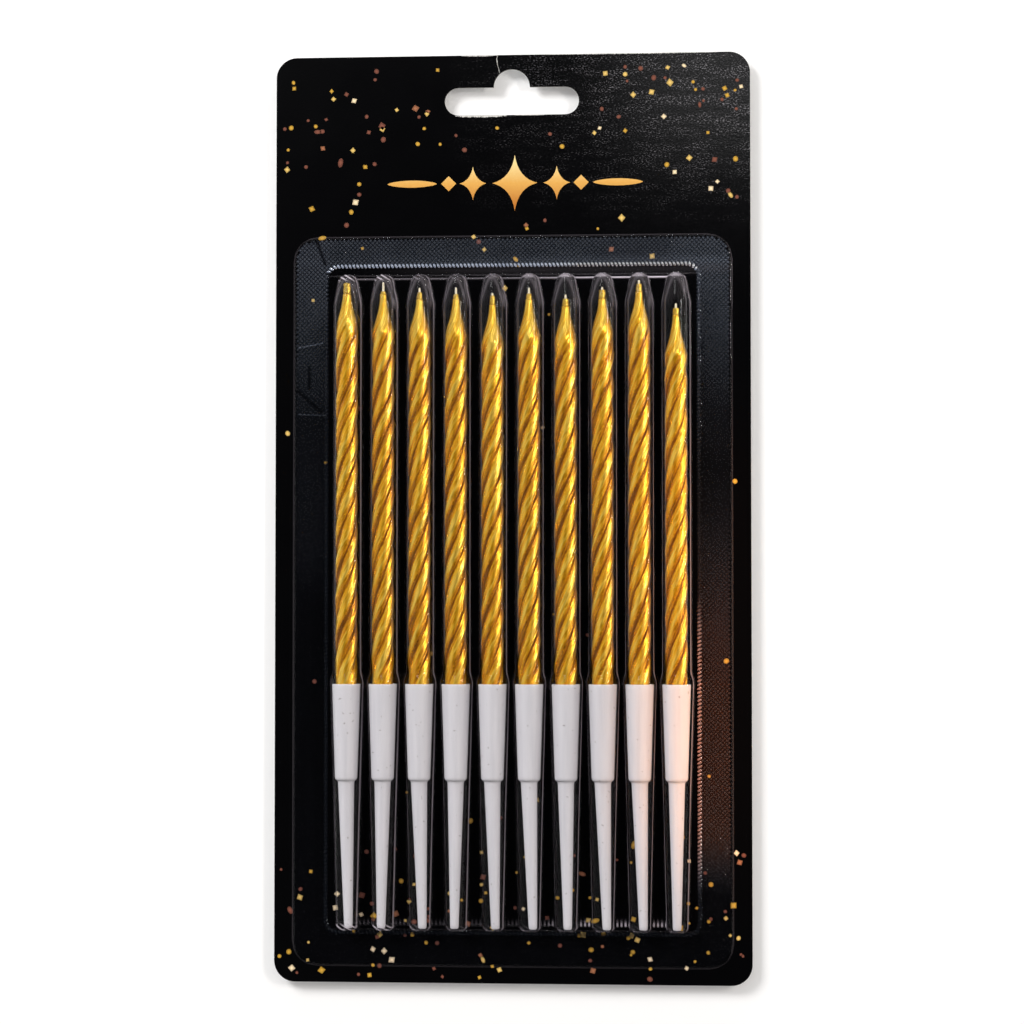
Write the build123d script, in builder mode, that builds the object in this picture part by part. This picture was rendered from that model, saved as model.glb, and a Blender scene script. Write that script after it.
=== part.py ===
"""Carded set of spiral birthday candles: hang card, clear blister, candles, wicks and pick holders.

Millimetres. The pack lies on its back: X runs across the card, Y runs up it to the hang slot and
Z comes out of its printed face. The origin is the centre of the card's back face.
"""

import os

from build123d import *

os.makedirs("parts", exist_ok=True)

# Candle wax, a twisted body of round lobes with a tapered foot and a drawn tip
candle_count = 10
candle_diameter = 5.4
candle_length = 101.5
lobe_count = 4
lobe_diameter = 3.1
valley_radius = 0.5
twist_lead = 31.3
foot_diameter = 4.4
foot_length = 16.0
foot_bevel = 0.3
tip_diameter = 1.9
tip_length = 8.6
envelope_margin = 0.1

# Wick, down the whole candle and out of its tip
wick_diameter = 1.3
wick_stub = 2.8
wick_end_round = 0.3
wick_clearance = 0.06

# Pick holder, a tapered cup on a long pick
socket_depth = 15.0
socket_clearance = 0.1
seat_gap = 0.2
cup_wall = 0.58
cup_length = 21.8
cup_shoulder = 1.6
rim_round = 0.15
pick_top_diameter = 3.85
pick_tip_diameter = 2.0
pick_length = 34.0
pick_tip_round = 0.45

# Hang card
card_thickness = 0.5
card_corner = 5.0
card_side_margin = 4.3
card_bottom_margin = 3.8
header_height = 43.2
slot_length = 32.0
slot_height = 6.6
slot_below_top = 11.1
slot_crown_diameter = 8.6

# Blister, one formed film: a flat flange, a low web and a channel for each candle
film = 0.25
seal_width = 8.0
seal_width_top = 7.1
land_side = 1.4
land_top = 2.4
land_bottom = 0.8
flange_corner = 6.0
web_height = 1.2
web_setback = 0.8
channel_clearance = 0.3
channel_spacing = 0.87
rest_gap = 0.1
end_gap = 0.3
rim_headroom = 0.9
flare_length = 1.7
tip_room = 7.2
dome_width = 3.3
dome_taper = 6.9
dome_round = 1.2
shoulder_round = 8.0
flare_round = 1.0
pick_room_width = 4.2

# How far each candle stands above its lowest seat, how its pick leans, and the turn from one to the next
candle_lifts = (5.6, 5.6, 4.2, 4.2, 2.8, 4.0, 2.3, 4.0, 5.6, 0.0)
pick_leans = (0.6, -0.3, 0.8, -0.3, 0.7, 0.9, 0.4, 0.9, 0.8, 0.0)
candle_turn = 67.0

# Radii and places that follow from the sizes above
candle_radius = candle_diameter / 2
foot_radius = foot_diameter / 2
foot_slope = (candle_radius - foot_radius) / foot_length
home_depth = socket_depth - seat_gap
socket_floor_radius = foot_radius + socket_clearance - foot_slope * seat_gap
socket_rim_radius = socket_floor_radius + foot_slope * socket_depth
rim_radius = socket_rim_radius + cup_wall
cup_end_radius = rim_radius - foot_slope * cup_length
holder_length = cup_length + cup_shoulder + pick_length
candle_room = candle_radius + channel_clearance
rim_room = rim_radius + channel_clearance
cup_end_room = cup_end_radius + channel_clearance
candle_pitch = 2 * (rim_room + film) + channel_spacing
axis_height = card_thickness + rest_gap + rim_radius
row_width = (candle_count - 1) * candle_pitch + 2 * (rim_room + film)
row_length = end_gap + holder_length - home_depth + candle_length + wick_stub + tip_room

flange_width = row_width + 2 * (land_side + seal_width)
flange_height = seal_width + land_bottom + row_length + 2 * film + land_top + seal_width_top
card_width = flange_width + 2 * card_side_margin
card_height = card_bottom_margin + flange_height + header_height

flange_bottom = card_bottom_margin - card_height / 2
row_bottom = flange_bottom + seal_width + land_bottom + film
row_top = row_bottom + row_length
pick_end = row_bottom + end_gap
rim_line = pick_end + holder_length
cup_end = rim_line - cup_length
candle_home = rim_line - home_depth
slot_line = card_height / 2 - slot_below_top
row_start = -(candle_count - 1) * candle_pitch / 2
channel_places = [row_start + number * candle_pitch for number in range(candle_count)]


def square_to_row(x: float, y: float) -> Plane:
    """Plane across a candle's axis at a place in the row, facing up the card."""
    return Plane(origin=(x, y, axis_height), x_dir=(1, 0, 0), z_dir=(0, 1, 0))


def channel_edge(skin: float) -> list[tuple[float, float]]:
    """Half outline of one channel from its pick end to its dome, grown by the film's thickness."""
    flare_start = rim_line + rim_headroom
    return [
        (0, row_bottom - skin),
        (pick_room_width / 2 + skin, row_bottom - skin),
        (cup_end_room + skin, cup_end),
        (rim_room + skin, rim_line),
        (rim_room + skin, flare_start),
        (candle_room + skin, flare_start + flare_length),
        (candle_room + skin, row_top - dome_taper),
        (dome_width / 2 + skin, row_top + skin),
        (0, row_top + skin),
    ]


def channel_shape(skin: float) -> Part:
    """Solid of one channel: straight walls up to the candle's axis and a round vault over it."""
    rounds = [dome_round, shoulder_round, flare_round, flare_round, flare_round, shoulder_round, dome_round]
    edge = channel_edge(skin)
    with BuildPart() as channel:
        with BuildSketch(Plane.XY.offset(card_thickness)):
            with BuildLine():
                FilletPolyline(edge, radius=rounds)
                mirror(about=Plane.YZ)
            make_face()
        extrude(amount=axis_height - card_thickness)
        with BuildSketch(Plane.XY.offset(axis_height)):
            with BuildLine():
                FilletPolyline(edge, radius=rounds)
                Line(edge[-1], edge[0])
            make_face()
        revolve(axis=Axis((0, 0, axis_height), (0, -1, 0)), revolution_arc=180)
    return channel.part


# Hang card with its crowned slot
with BuildPart() as hang_card:
    with BuildSketch():
        RectangleRounded(card_width, card_height, card_corner)
        with Locations((0, slot_line)):
            SlotOverall(slot_length, slot_height, mode=Mode.SUBTRACT)
        with Locations((0, slot_line + slot_height / 2)):
            Circle(slot_crown_diameter / 2, mode=Mode.SUBTRACT)
    extrude(amount=card_thickness)
hang_card.part.label = "hang_card"
export_step(hang_card.part, "parts/hang_card.step")

# Blister film, grown from the card's face and hollowed from below
outer_channel = channel_shape(film)
inner_channel = channel_shape(0)
row_locations = [(x, 0, 0) for x in channel_places]
web_width = (candle_count - 1) * candle_pitch
web_centre = (row_top + row_bottom) / 2
web_length = row_length - 2 * web_setback
with BuildPart() as blister:
    with BuildSketch(Plane.XY.offset(card_thickness)):
        with Locations((0, flange_bottom + flange_height / 2)):
            RectangleRounded(flange_width, flange_height, flange_corner)
    extrude(amount=film)
    with BuildSketch(Plane.XY.offset(card_thickness)):
        with Locations((0, web_centre)):
            Rectangle(web_width, web_length)
    extrude(amount=web_height)
    with Locations(*row_locations):
        add(outer_channel)
    with BuildSketch(Plane.XY.offset(card_thickness)):
        with Locations((0, web_centre)):
            Rectangle(web_width, web_length - 2 * film)
    extrude(amount=web_height - film, mode=Mode.SUBTRACT)
    with Locations(*row_locations):
        add(inner_channel, mode=Mode.SUBTRACT)
blister.part.label = "blister"
export_step(blister.part, "parts/blister.step")

# One candle's wax, standing on its foot at the origin with its axis along Y
with BuildSketch(Plane.ZX) as lobes:
    Circle(candle_radius - lobe_diameter / 4)
    with PolarLocations(candle_radius - lobe_diameter / 2, lobe_count):
        Circle(lobe_diameter / 2)
    fillet(lobes.vertices(), valley_radius)
twisted_lobes = Solid.extrude_linear_with_rotation(
    lobes.sketch.faces()[0],
    center=(0, 0, 0),
    normal=(0, candle_length, 0),
    angle=360 * candle_length / twist_lead,
)
clear_radius = candle_radius + envelope_margin
tip_start = candle_length - tip_length
with BuildPart() as candle_shape:
    add(twisted_lobes)
    with BuildSketch():
        with BuildLine():
            side = Polyline(
                (0, 0),
                (foot_radius - foot_bevel, 0),
                (foot_radius + foot_slope * foot_bevel, foot_bevel),
                (clear_radius, (clear_radius - foot_radius) / foot_slope),
                (clear_radius, tip_start),
            )
            tip = Bezier(
                side @ 1,
                (clear_radius, tip_start + tip_length * 0.3),
                (tip_diameter * 0.8, tip_start + tip_length * 0.65),
                (tip_diameter / 2, candle_length),
            )
            Polyline(tip @ 1, (0, candle_length), (0, 0))
        make_face()
    revolve(axis=Axis.Y, mode=Mode.INTERSECT)
    with BuildSketch(Plane.ZX):
        Circle(wick_diameter / 2 + wick_clearance)
    extrude(amount=candle_length, mode=Mode.SUBTRACT)

for number, x in enumerate(channel_places):
    lift = candle_lifts[number % len(candle_lifts)]
    lean = pick_leans[number % len(pick_leans)]
    foot_line = candle_home + lift
    label = f"{number + 1:02d}"

    with BuildPart() as candle:
        with Locations(Location((x, foot_line, axis_height), (0, number * candle_turn, 0))):
            add(candle_shape.part)
    candle.part.label = f"candle_{label}"
    export_step(candle.part, f"parts/candle_{label}.step")

    with BuildPart() as wick:
        with BuildSketch(square_to_row(x, foot_line)):
            Circle(wick_diameter / 2)
        extrude(amount=candle_length + wick_stub)
        fillet(wick.edges().group_by(Axis.Y)[-1], wick_end_round)
    wick.part.label = f"wick_{label}"
    export_step(wick.part, f"parts/wick_{label}.step")

    with BuildPart() as holder:
        with BuildSketch(Plane((x, rim_line, axis_height))):
            with BuildLine():
                Polyline(
                    (0, -socket_depth),
                    (socket_floor_radius, -socket_depth),
                    (socket_rim_radius, 0),
                    (rim_radius, 0),
                    (cup_end_radius, -cup_length),
                    (pick_top_diameter / 2, -cup_length - cup_shoulder),
                    (0, -cup_length - cup_shoulder),
                    (0, -socket_depth),
                )
            make_face()
        revolve(axis=Axis((x, rim_line, axis_height), (0, 1, 0)))
        fillet(holder.edges().group_by(Axis.Y)[-1], rim_round)
        with BuildSketch(square_to_row(x, cup_end - cup_shoulder)):
            Circle(pick_top_diameter / 2)
        with BuildSketch(square_to_row(x + lean, pick_end)):
            Circle(pick_tip_diameter / 2)
        loft()
        fillet(holder.edges().group_by(Axis.Y)[0], pick_tip_round)
    holder.part.label = f"holder_{label}"
    export_step(holder.part, f"parts/holder_{label}.step")

print(f"card {card_width:.2f} x {card_height:.2f}, pitch {candle_pitch:.2f}, axis {axis_height:.3f}")
print(f"rim line {rim_line:.2f}, row {row_bottom:.2f} to {row_top:.2f}, slot line {slot_line:.2f}")
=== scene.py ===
"""Carded set of gold spiral birthday candles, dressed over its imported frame.

The frame, the finishes and the lamps are in metres; sizes of the sub-assemblies are in millimetres. X runs
across the card, Y runs up it to the hang slot and Z comes out of its printed face.
"""

import logging
import math
from dataclasses import dataclass
from enum import Enum
from typing import Any, Iterable, Sequence, Union

import bpy
import numpy as np
from mathutils import Matrix, Vector


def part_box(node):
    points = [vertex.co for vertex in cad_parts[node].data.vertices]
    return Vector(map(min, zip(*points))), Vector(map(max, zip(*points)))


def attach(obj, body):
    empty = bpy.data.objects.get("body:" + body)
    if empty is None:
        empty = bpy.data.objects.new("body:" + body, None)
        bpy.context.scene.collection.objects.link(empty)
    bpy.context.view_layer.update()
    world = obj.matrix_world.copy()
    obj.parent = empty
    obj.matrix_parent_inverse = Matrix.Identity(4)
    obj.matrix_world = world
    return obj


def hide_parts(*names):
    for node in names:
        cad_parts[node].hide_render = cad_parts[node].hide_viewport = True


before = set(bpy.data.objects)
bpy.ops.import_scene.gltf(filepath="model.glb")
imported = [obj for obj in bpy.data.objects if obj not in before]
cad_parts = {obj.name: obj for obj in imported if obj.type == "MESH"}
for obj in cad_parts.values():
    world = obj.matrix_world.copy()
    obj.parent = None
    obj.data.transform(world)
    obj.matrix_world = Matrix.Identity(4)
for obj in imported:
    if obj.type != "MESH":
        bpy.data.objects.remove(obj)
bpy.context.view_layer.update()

MM = 0.001
WHITE = (1.0, 1.0, 1.0, 1.0)
CANDLE_COUNT = 10
LOG = logging.getLogger("candle_set")

Point = tuple[float, float]


class Body(str, Enum):
    """Fixed body of the frame that the still pieces ride on."""

    PACK = "pack"


class Slot(str, Enum):
    """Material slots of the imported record."""

    CARD = "printed_card"
    FILM = "clear_film"
    WAX = "gold_wax"
    WICK = "waxed_wick"
    PLASTIC = "white_plastic"


@dataclass(frozen=True)
class FleckCut:
    """One cut of confetti: its outline, how common and how large it is, and its range of tints."""

    corners: int
    stretch: float
    share: float
    scale: float
    tints: Point


class FleckShape(Enum):
    """Cut shapes in the card's confetti print."""

    DOT = FleckCut(10, 1.0, 0.52, 0.58, (0.0, 0.56))
    SQUARE = FleckCut(4, 1.0, 0.44, 0.84, (0.22, 1.0))
    SLIVER = FleckCut(8, 1.7, 0.04, 0.6, (0.22, 1.0))


class NodeSketch:
    """A node tree being drawn up, with short calls for its nodes and links."""

    def __init__(self, tree: bpy.types.NodeTree) -> None:
        """Keeps the tree that the calls add to."""
        self.tree = tree

    def feed(self, socket: bpy.types.NodeSocket, value: Any) -> None:
        """Links another node's output to an input, or sets a plain value on it.

        Args:
            socket: The input.
            value: An output socket, a Field or a plain value.
        """
        source = value.socket if isinstance(value, Field) else value
        if isinstance(source, bpy.types.NodeSocket):
            self.tree.links.new(source, socket)
        else:
            socket.default_value = source

    def add(self, kind: str, inputs: Union[dict, None] = None, **settings: Any) -> bpy.types.Node:
        """Adds a node.

        Args:
            kind: Blender's name of the node type.
            inputs: Values or outputs for its inputs, by name or place.
            **settings: Properties of the node itself.

        Returns:
            The new node.
        """
        node = self.tree.nodes.new(kind)
        for name, value in settings.items():
            setattr(node, name, value)
        for key, value in (inputs or {}).items():
            self.feed(node.inputs[key], value)
        return node

    def field(self, kind: str, inputs: Union[dict, None] = None, out: Any = 0, **settings: Any) -> "Field":
        """Adds a node and returns one of its outputs as a Field."""
        return Field(self, self.add(kind, inputs, **settings).outputs[out])

    def combine(self, x: Any, y: Any, z: Any) -> "Field":
        """Joins three numbers into a vector."""
        return self.field("ShaderNodeCombineXYZ", {0: x, 1: y, 2: z})

    def split(self, vector: Any) -> tuple["Field", "Field", "Field"]:
        """Splits a vector into its three numbers."""
        node = self.add("ShaderNodeSeparateXYZ", {0: vector})
        return tuple(Field(self, node.outputs[i]) for i in range(3))

    def ramp(self, value: Any, stops: Sequence[tuple], stepped: bool = False) -> "Field":
        """Adds a colour ramp.

        Args:
            value: Where on the ramp, from 0 to 1.
            stops: Pairs of place and linear RGB colour.
            stepped: True for bands with hard edges.

        Returns:
            The ramp's colour.
        """
        node = self.add("ShaderNodeValToRGB", {0: value})
        node.color_ramp.interpolation = "CONSTANT" if stepped else "LINEAR"
        elements = node.color_ramp.elements
        while len(elements) < len(stops):
            elements.new(0.5)
        for element, (place, colour) in zip(elements, stops):
            element.position = place
            element.color = (*colour, 1.0)
        return Field(self, node.outputs[0])

    def blend(self, share: Any, first: Any, second: Any, kind: str = "MIX") -> "Field":
        """Mixes two colours.

        Args:
            share: How much of the second, from 0 to 1.
            first: An output or a linear RGB colour.
            second: The same for the other colour.
            kind: Blender's name of the way to mix.

        Returns:
            The mixed colour.
        """
        node = self.add("ShaderNodeMix", data_type="RGBA", blend_type=kind, clamp_factor=True)
        for place, value in ((0, share), (6, first), (7, second)):
            if isinstance(value, tuple) and len(value) == 3:
                value = (*value, 1.0)
            self.feed(node.inputs[place], value)
        return Field(self, node.outputs[2])

    def dimmed(self, colour: Any, level: Any) -> "Field":
        """A colour times a number."""
        return self.blend(1.0, colour, self.combine(level, level, level), "MULTIPLY")

    def kept(self, name: str, out: str = "Fac") -> "Field":
        """Reads a value that was kept on the mesh."""
        return self.field("ShaderNodeAttribute", out=out, attribute_name=name)

    def noise(self, place: Any, scale: float, detail: float = 2.0, rough: float = 0.5) -> "Field":
        """Noise from 0 to 1 at a place, scale in waves a metre."""
        inputs = {"Vector": place, "Scale": scale, "Detail": detail, "Roughness": rough}
        return self.field("ShaderNodeTexNoise", inputs)

    def bump(self, height: Any, strength: float, distance: float) -> "Field":
        """Turns a height into a shading normal, distance in millimetres."""
        inputs = {"Height": height, "Strength": strength, "Distance": distance * MM}
        return self.field("ShaderNodeBump", inputs)


@dataclass(frozen=True)
class Field:
    """A number flowing through a node tree, with ordinary arithmetic that adds Math nodes."""

    sketch: NodeSketch
    socket: bpy.types.NodeSocket

    def run(self, operation: str, *others: Any) -> "Field":
        """Puts this number and others through one Math node."""
        return self.sketch.field("ShaderNodeMath", dict(enumerate((self, *others))), operation=operation)

    def __add__(self, other: Any) -> "Field":
        """This number plus another."""
        return self.run("ADD", other)

    def __sub__(self, other: Any) -> "Field":
        """This number less another."""
        return self.run("SUBTRACT", other)

    def __rsub__(self, other: Any) -> "Field":
        """Another number less this one."""
        return self.run("MULTIPLY_ADD", -1.0, other)

    def __mul__(self, other: Any) -> "Field":
        """This number times another."""
        return self.run("MULTIPLY", other)

    def __truediv__(self, other: Any) -> "Field":
        """This number over another."""
        return self.run("DIVIDE", other)

    def __pow__(self, other: Any) -> "Field":
        """This number to a power."""
        return self.run("POWER", other)

    __radd__ = __add__
    __rmul__ = __mul__

    def clamped(self) -> "Field":
        """This number held between 0 and 1."""
        return self.run("MINIMUM", 1.0).run("MAXIMUM", 0.0)

    def eased(self, start: Any, end: Any) -> "Field":
        """0 before start and 1 after end, with a smooth step between."""
        inputs = {0: self, 1: start, 2: end, 3: 0.0, 4: 1.0}
        return self.sketch.field("ShaderNodeMapRange", inputs, interpolation_type="SMOOTHSTEP")

    def hump(self, centre: Any, width: Any) -> "Field":
        """1 at centre, fading to nothing over about two widths either side."""
        reach = (self - centre) / width
        return self.sketch.field("ShaderNodeMath", {0: math.e, 1: reach * reach * -1.0}, operation="POWER")


class RuleTree(NodeSketch):
    """A Geometry Nodes tree with named inputs, whose result is kept as a plain mesh."""

    def __init__(self, name: str) -> None:
        """Starts an empty tree with a mesh in and a mesh out.

        Args:
            name: Name of the tree.
        """
        super().__init__(bpy.data.node_groups.new(name, "GeometryNodeTree"))
        self.tree.interface.new_socket("Mesh", in_out="OUTPUT", socket_type="NodeSocketGeometry")
        self.tree.interface.new_socket("Base", in_out="INPUT", socket_type="NodeSocketGeometry")
        self.entry = self.tree.nodes.new("NodeGroupInput")
        self.exit = self.tree.nodes.new("NodeGroupOutput")
        self.keys: dict[str, str] = {}

    def size(self, name: str, kind: str = "Float") -> Field:
        """Adds a named input.

        Args:
            name: The input's name.
            kind: Float, Int or Material.

        Returns:
            The input inside the tree.
        """
        item = self.tree.interface.new_socket(name, in_out="INPUT", socket_type=f"NodeSocket{kind}")
        self.keys[name] = item.identifier
        return Field(self, self.entry.outputs[name])

    @property
    def base(self) -> Field:
        """The mesh that the tree is given."""
        return Field(self, self.entry.outputs["Base"])

    def chance(self, low: float, high: float, seed: Any) -> Field:
        """A random number for each point."""
        inputs = {2: low, 3: high, "Seed": seed}
        return self.field("FunctionNodeRandomValue", inputs, out=1, data_type="FLOAT")

    def keep(self, geometry: Any, name: str, value: Any, domain: str = "POINT", kind: str = "FLOAT") -> Field:
        """Stores a value on the geometry under a name that materials can read."""
        inputs = {"Geometry": geometry, "Name": name, "Value": value}
        return self.field("GeometryNodeStoreNamedAttribute", inputs, data_type=kind, domain=domain)

    def close(self, geometry: Any) -> None:
        """Ends the tree in real geometry that carries its material.

        Args:
            geometry: The finished geometry.
        """
        material = self.size("Finish", "Material")
        whole = self.field("GeometryNodeRealizeInstances", {"Geometry": geometry})
        dressed = self.field("GeometryNodeSetMaterial", {"Geometry": whole, "Material": material})
        self.feed(self.exit.inputs["Mesh"], dressed)

    def grow(
        self, name: str, values: dict[str, Any], base: Union[bpy.types.Mesh, None] = None,
    ) -> bpy.types.Object:
        """Runs the tree and keeps its result.

        Args:
            name: Name of the new piece.
            values: A value for each named input.
            base: The mesh to start from, if the tree uses one.

        Returns:
            An object at the origin with a plain mesh.
        """
        host = bpy.data.objects.new(f"{name}_host", base or bpy.data.meshes.new(f"{name}_base"))
        bpy.context.scene.collection.objects.link(host)
        modifier = host.modifiers.new("rule", "NODES")
        modifier.node_group = self.tree
        for key, value in values.items():
            modifier[self.keys[key]] = value
        return plain_copy(host, name)


def plain_copy(host: bpy.types.Object, name: str) -> bpy.types.Object:
    """Turns an object with modifiers into a plain mesh object and removes the first.

    Args:
        host: The object with live modifiers.
        name: Name of the new piece.

    Returns:
        The new object, at the origin.
    """
    graph = bpy.context.evaluated_depsgraph_get()
    mesh = bpy.data.meshes.new_from_object(
        host.evaluated_get(graph), preserve_all_data_layers=True, depsgraph=graph
    )
    mesh.name = name
    bpy.data.objects.remove(host)
    piece = bpy.data.objects.new(name, mesh)
    bpy.context.scene.collection.objects.link(piece)
    return piece


def mesh_piece(
    name: str,
    points: Iterable,
    faces: Sequence,
    finishes: Sequence[bpy.types.Material],
    smooth: bool = True,
) -> bpy.types.Object:
    """Makes a mesh object from points in millimetres.

    Args:
        name: Name of the piece.
        points: Its points.
        faces: Its faces, as rows of point numbers.
        finishes: Its materials.
        smooth: True for smooth shading.

    Returns:
        The new object, at the origin.
    """
    mesh = bpy.data.meshes.new(name)
    mesh.from_pydata((np.asarray(points, dtype=float) * MM).tolist(), [], [list(face) for face in faces])
    for finish in finishes:
        mesh.materials.append(finish)
    mesh.polygons.foreach_set("use_smooth", [smooth] * len(mesh.polygons))
    mesh.update()
    piece = bpy.data.objects.new(name, mesh)
    bpy.context.scene.collection.objects.link(piece)
    return piece


def grid_faces(rows: int, columns: int, wrap: bool) -> list[tuple[int, int, int, int]]:
    """Faces of a grid of points, row after row.

    Args:
        rows: How many rows.
        columns: How many points in a row.
        wrap: True to join the last column to the first.

    Returns:
        The faces as rows of four point numbers.
    """
    last = columns if wrap else columns - 1
    faces = []
    for row in range(rows - 1):
        here, there = row * columns, (row + 1) * columns
        for column in range(last):
            beside = (column + 1) % columns
            faces.append((here + column, here + beside, there + beside, there + column))
    return faces


def tube_faces(rows: int, around: int) -> list[tuple]:
    """Faces of rings of points, closed by two end points that come after the rings' points.

    Args:
        rows: How many rings.
        around: How many points in a ring.

    Returns:
        The faces as rows of point numbers.
    """
    faces: list[tuple] = list(grid_faces(rows, around, True))
    first_end, last = rows * around, (rows - 1) * around
    for i in range(around):
        j = (i + 1) % around
        faces.append((first_end, j, i))
        faces.append((first_end + 1, last + i, last + j))
    return faces


def prisms(outlines: Sequence[Sequence[Point]], low: float, high: float) -> tuple[list, list]:
    """Points and faces of flat shapes with a small thickness.

    Args:
        outlines: Outlines that run anticlockwise seen from the printed face.
        low: Height of their undersides.
        high: Height of their faces.

    Returns:
        The points and the faces.
    """
    points: list = []
    faces: list = []
    for outline in outlines:
        start, count = len(points), len(outline)
        points += [(x, y, low) for x, y in outline] + [(x, y, high) for x, y in outline]
        faces.append([start + count + i for i in range(count)])
        faces.append([start + i for i in reversed(range(count))])
        for i in range(count):
            j = (i + 1) % count
            faces.append([start + i, start + j, start + count + j, start + count + i])
    return points, faces


def millimetres(node: str) -> tuple[np.ndarray, np.ndarray]:
    """Lowest and highest corner of a CAD node in millimetres."""
    low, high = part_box(node)
    return np.array(low) / MM, np.array(high) / MM


@dataclass(frozen=True)
class CandlePlace:
    """Where one candle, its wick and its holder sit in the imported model."""

    number: int

    @property
    def label(self) -> str:
        """Two-figure label of this place."""
        return f"{self.number + 1:02d}"

    def corners(self, piece: str) -> tuple[np.ndarray, np.ndarray]:
        """Lowest and highest corner of this place's candle, wick or holder."""
        return millimetres(f"{piece}_{self.label}")

    @property
    def axis(self) -> Point:
        """X and Z of the candle's axis."""
        low, high = self.corners("wick")
        return float(low[0] + high[0]) / 2, float(low[2] + high[2]) / 2


PLACES = [CandlePlace(number) for number in range(CANDLE_COUNT)]


@dataclass(frozen=True)
class Finish:
    """A surface finish that can make itself into a material."""

    name: str

    def shade(self, sketch: NodeSketch) -> Any:
        """Draws the finish's nodes.

        Args:
            sketch: The material's node tree.

        Returns:
            The finish's shader.
        """
        raise NotImplementedError

    def principled(self, sketch: NodeSketch, **inputs: Any) -> bpy.types.NodeSocket:
        """Adds the main shader, with inputs named by their words joined with underscores."""
        named = {key.replace("_", " ").title().replace("Ior", "IOR"): v for key, v in inputs.items()}
        return sketch.add("ShaderNodeBsdfPrincipled", named).outputs[0]

    def material(self) -> bpy.types.Material:
        """Makes the material.

        Returns:
            A node material with this finish.
        """
        material = bpy.data.materials.new(self.name)
        material.use_nodes = True
        sketch = NodeSketch(material.node_tree)
        sketch.tree.nodes.clear()
        output = sketch.add("ShaderNodeOutputMaterial")
        sketch.feed(output.inputs["Surface"], self.shade(sketch))
        return material

    @staticmethod
    def place(sketch: NodeSketch) -> Field:
        """The point on the object, in metres."""
        return sketch.field("ShaderNodeTexCoord", out="Object")


@dataclass(frozen=True)
class LaminatedBlack(Finish):
    """Glossy black print under a thin laminate, with painted sheen: bright grain points in its colour towards
    the top right, where the light catches the laminate.
    """

    name: str = "laminated_black"
    ink: tuple = (0.0012, 0.0012, 0.0015)
    painted_glint: tuple = (0.46, 0.44, 0.47)
    painted_glint_start: float = 0.064
    painted_glint_full: float = 0.106

    def shade(self, sketch: NodeSketch) -> Any:
        """Draws black ink, painted sheen points and a faint laminate texture.

        Args:
            sketch: The material's node tree.

        Returns:
            The finish's shader.
        """
        place = self.place(sketch)
        x, y, _ = sketch.split(place)
        # Painted sheen: bright grain points laid into the colour, strongest towards the top right, where the
        # light catches the laminate's grain.
        height = y.eased(self.painted_glint_start, self.painted_glint_full) * (x * 14.0 + 0.22).clamped()
        points = sketch.noise(sketch.combine(x * 0.6, y, 0.0), 3300.0, 3.0, 0.7).eased(0.52, 0.72)
        streaks = sketch.noise(sketch.combine(x * 0.25, y, 0.0), 420.0, 4.0, 0.6).eased(0.42, 0.64)
        colour = sketch.blend(points * (streaks * 0.88 + 0.12) * height, self.ink, self.painted_glint)
        skin = sketch.noise(sketch.combine(x * 0.5, y, 0.0), 2800.0, 3.0)
        rough = sketch.noise(place, 90.0, 4.0) * 0.06 + 0.10
        return self.principled(
            sketch, base_color=colour, roughness=rough, ior=1.45,
            normal=sketch.bump(skin * (height * 0.6 + 0.15), 0.9, 0.03),
        )


@dataclass(frozen=True)
class PaperCore(Finish):
    """White fibrous board, seen at cut edges and where the print has rubbed off."""

    name: str = "paper_core"
    light: tuple = (0.80, 0.79, 0.76)
    dark: tuple = (0.52, 0.50, 0.46)

    def shade(self, sketch: NodeSketch) -> Any:
        """Draws pale fibres on a matt board.

        Args:
            sketch: The material's node tree.

        Returns:
            The finish's shader.
        """
        place = self.place(sketch)
        x, y, z = sketch.split(place)
        fibre = sketch.noise(sketch.combine(x, y * 0.25, z * 3.0), 3800.0, 4.0, 0.65)
        colour = sketch.ramp(fibre, ((0.32, self.dark), (0.62, self.light)))
        return self.principled(
            sketch, base_color=colour, roughness=0.85, normal=sketch.bump(fibre, 0.5, 0.05),
        )


@dataclass(frozen=True)
class GreyBoard(Finish):
    """Uncoated back of the card: pale grey pulp with darker fibres."""

    name: str = "grey_board"
    light: tuple = (0.62, 0.61, 0.58)
    dark: tuple = (0.40, 0.39, 0.37)
    fibre: tuple = (0.25, 0.23, 0.20)

    def shade(self, sketch: NodeSketch) -> Any:
        """Draws mottled pulp and scattered fibres.

        Args:
            sketch: The material's node tree.

        Returns:
            The finish's shader.
        """
        place = self.place(sketch)
        mottle = sketch.noise(place, 420.0, 5.0, 0.6)
        speck = sketch.noise(place, 2600.0, 2.0).eased(0.66, 0.74)
        colour = sketch.ramp(mottle, ((0.3, self.dark), (0.6, self.light)))
        colour = sketch.blend(speck * 0.5, colour, self.fibre)
        return self.principled(
            sketch, base_color=colour, roughness=0.9, normal=sketch.bump(mottle, 0.3, 0.04),
        )


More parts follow.
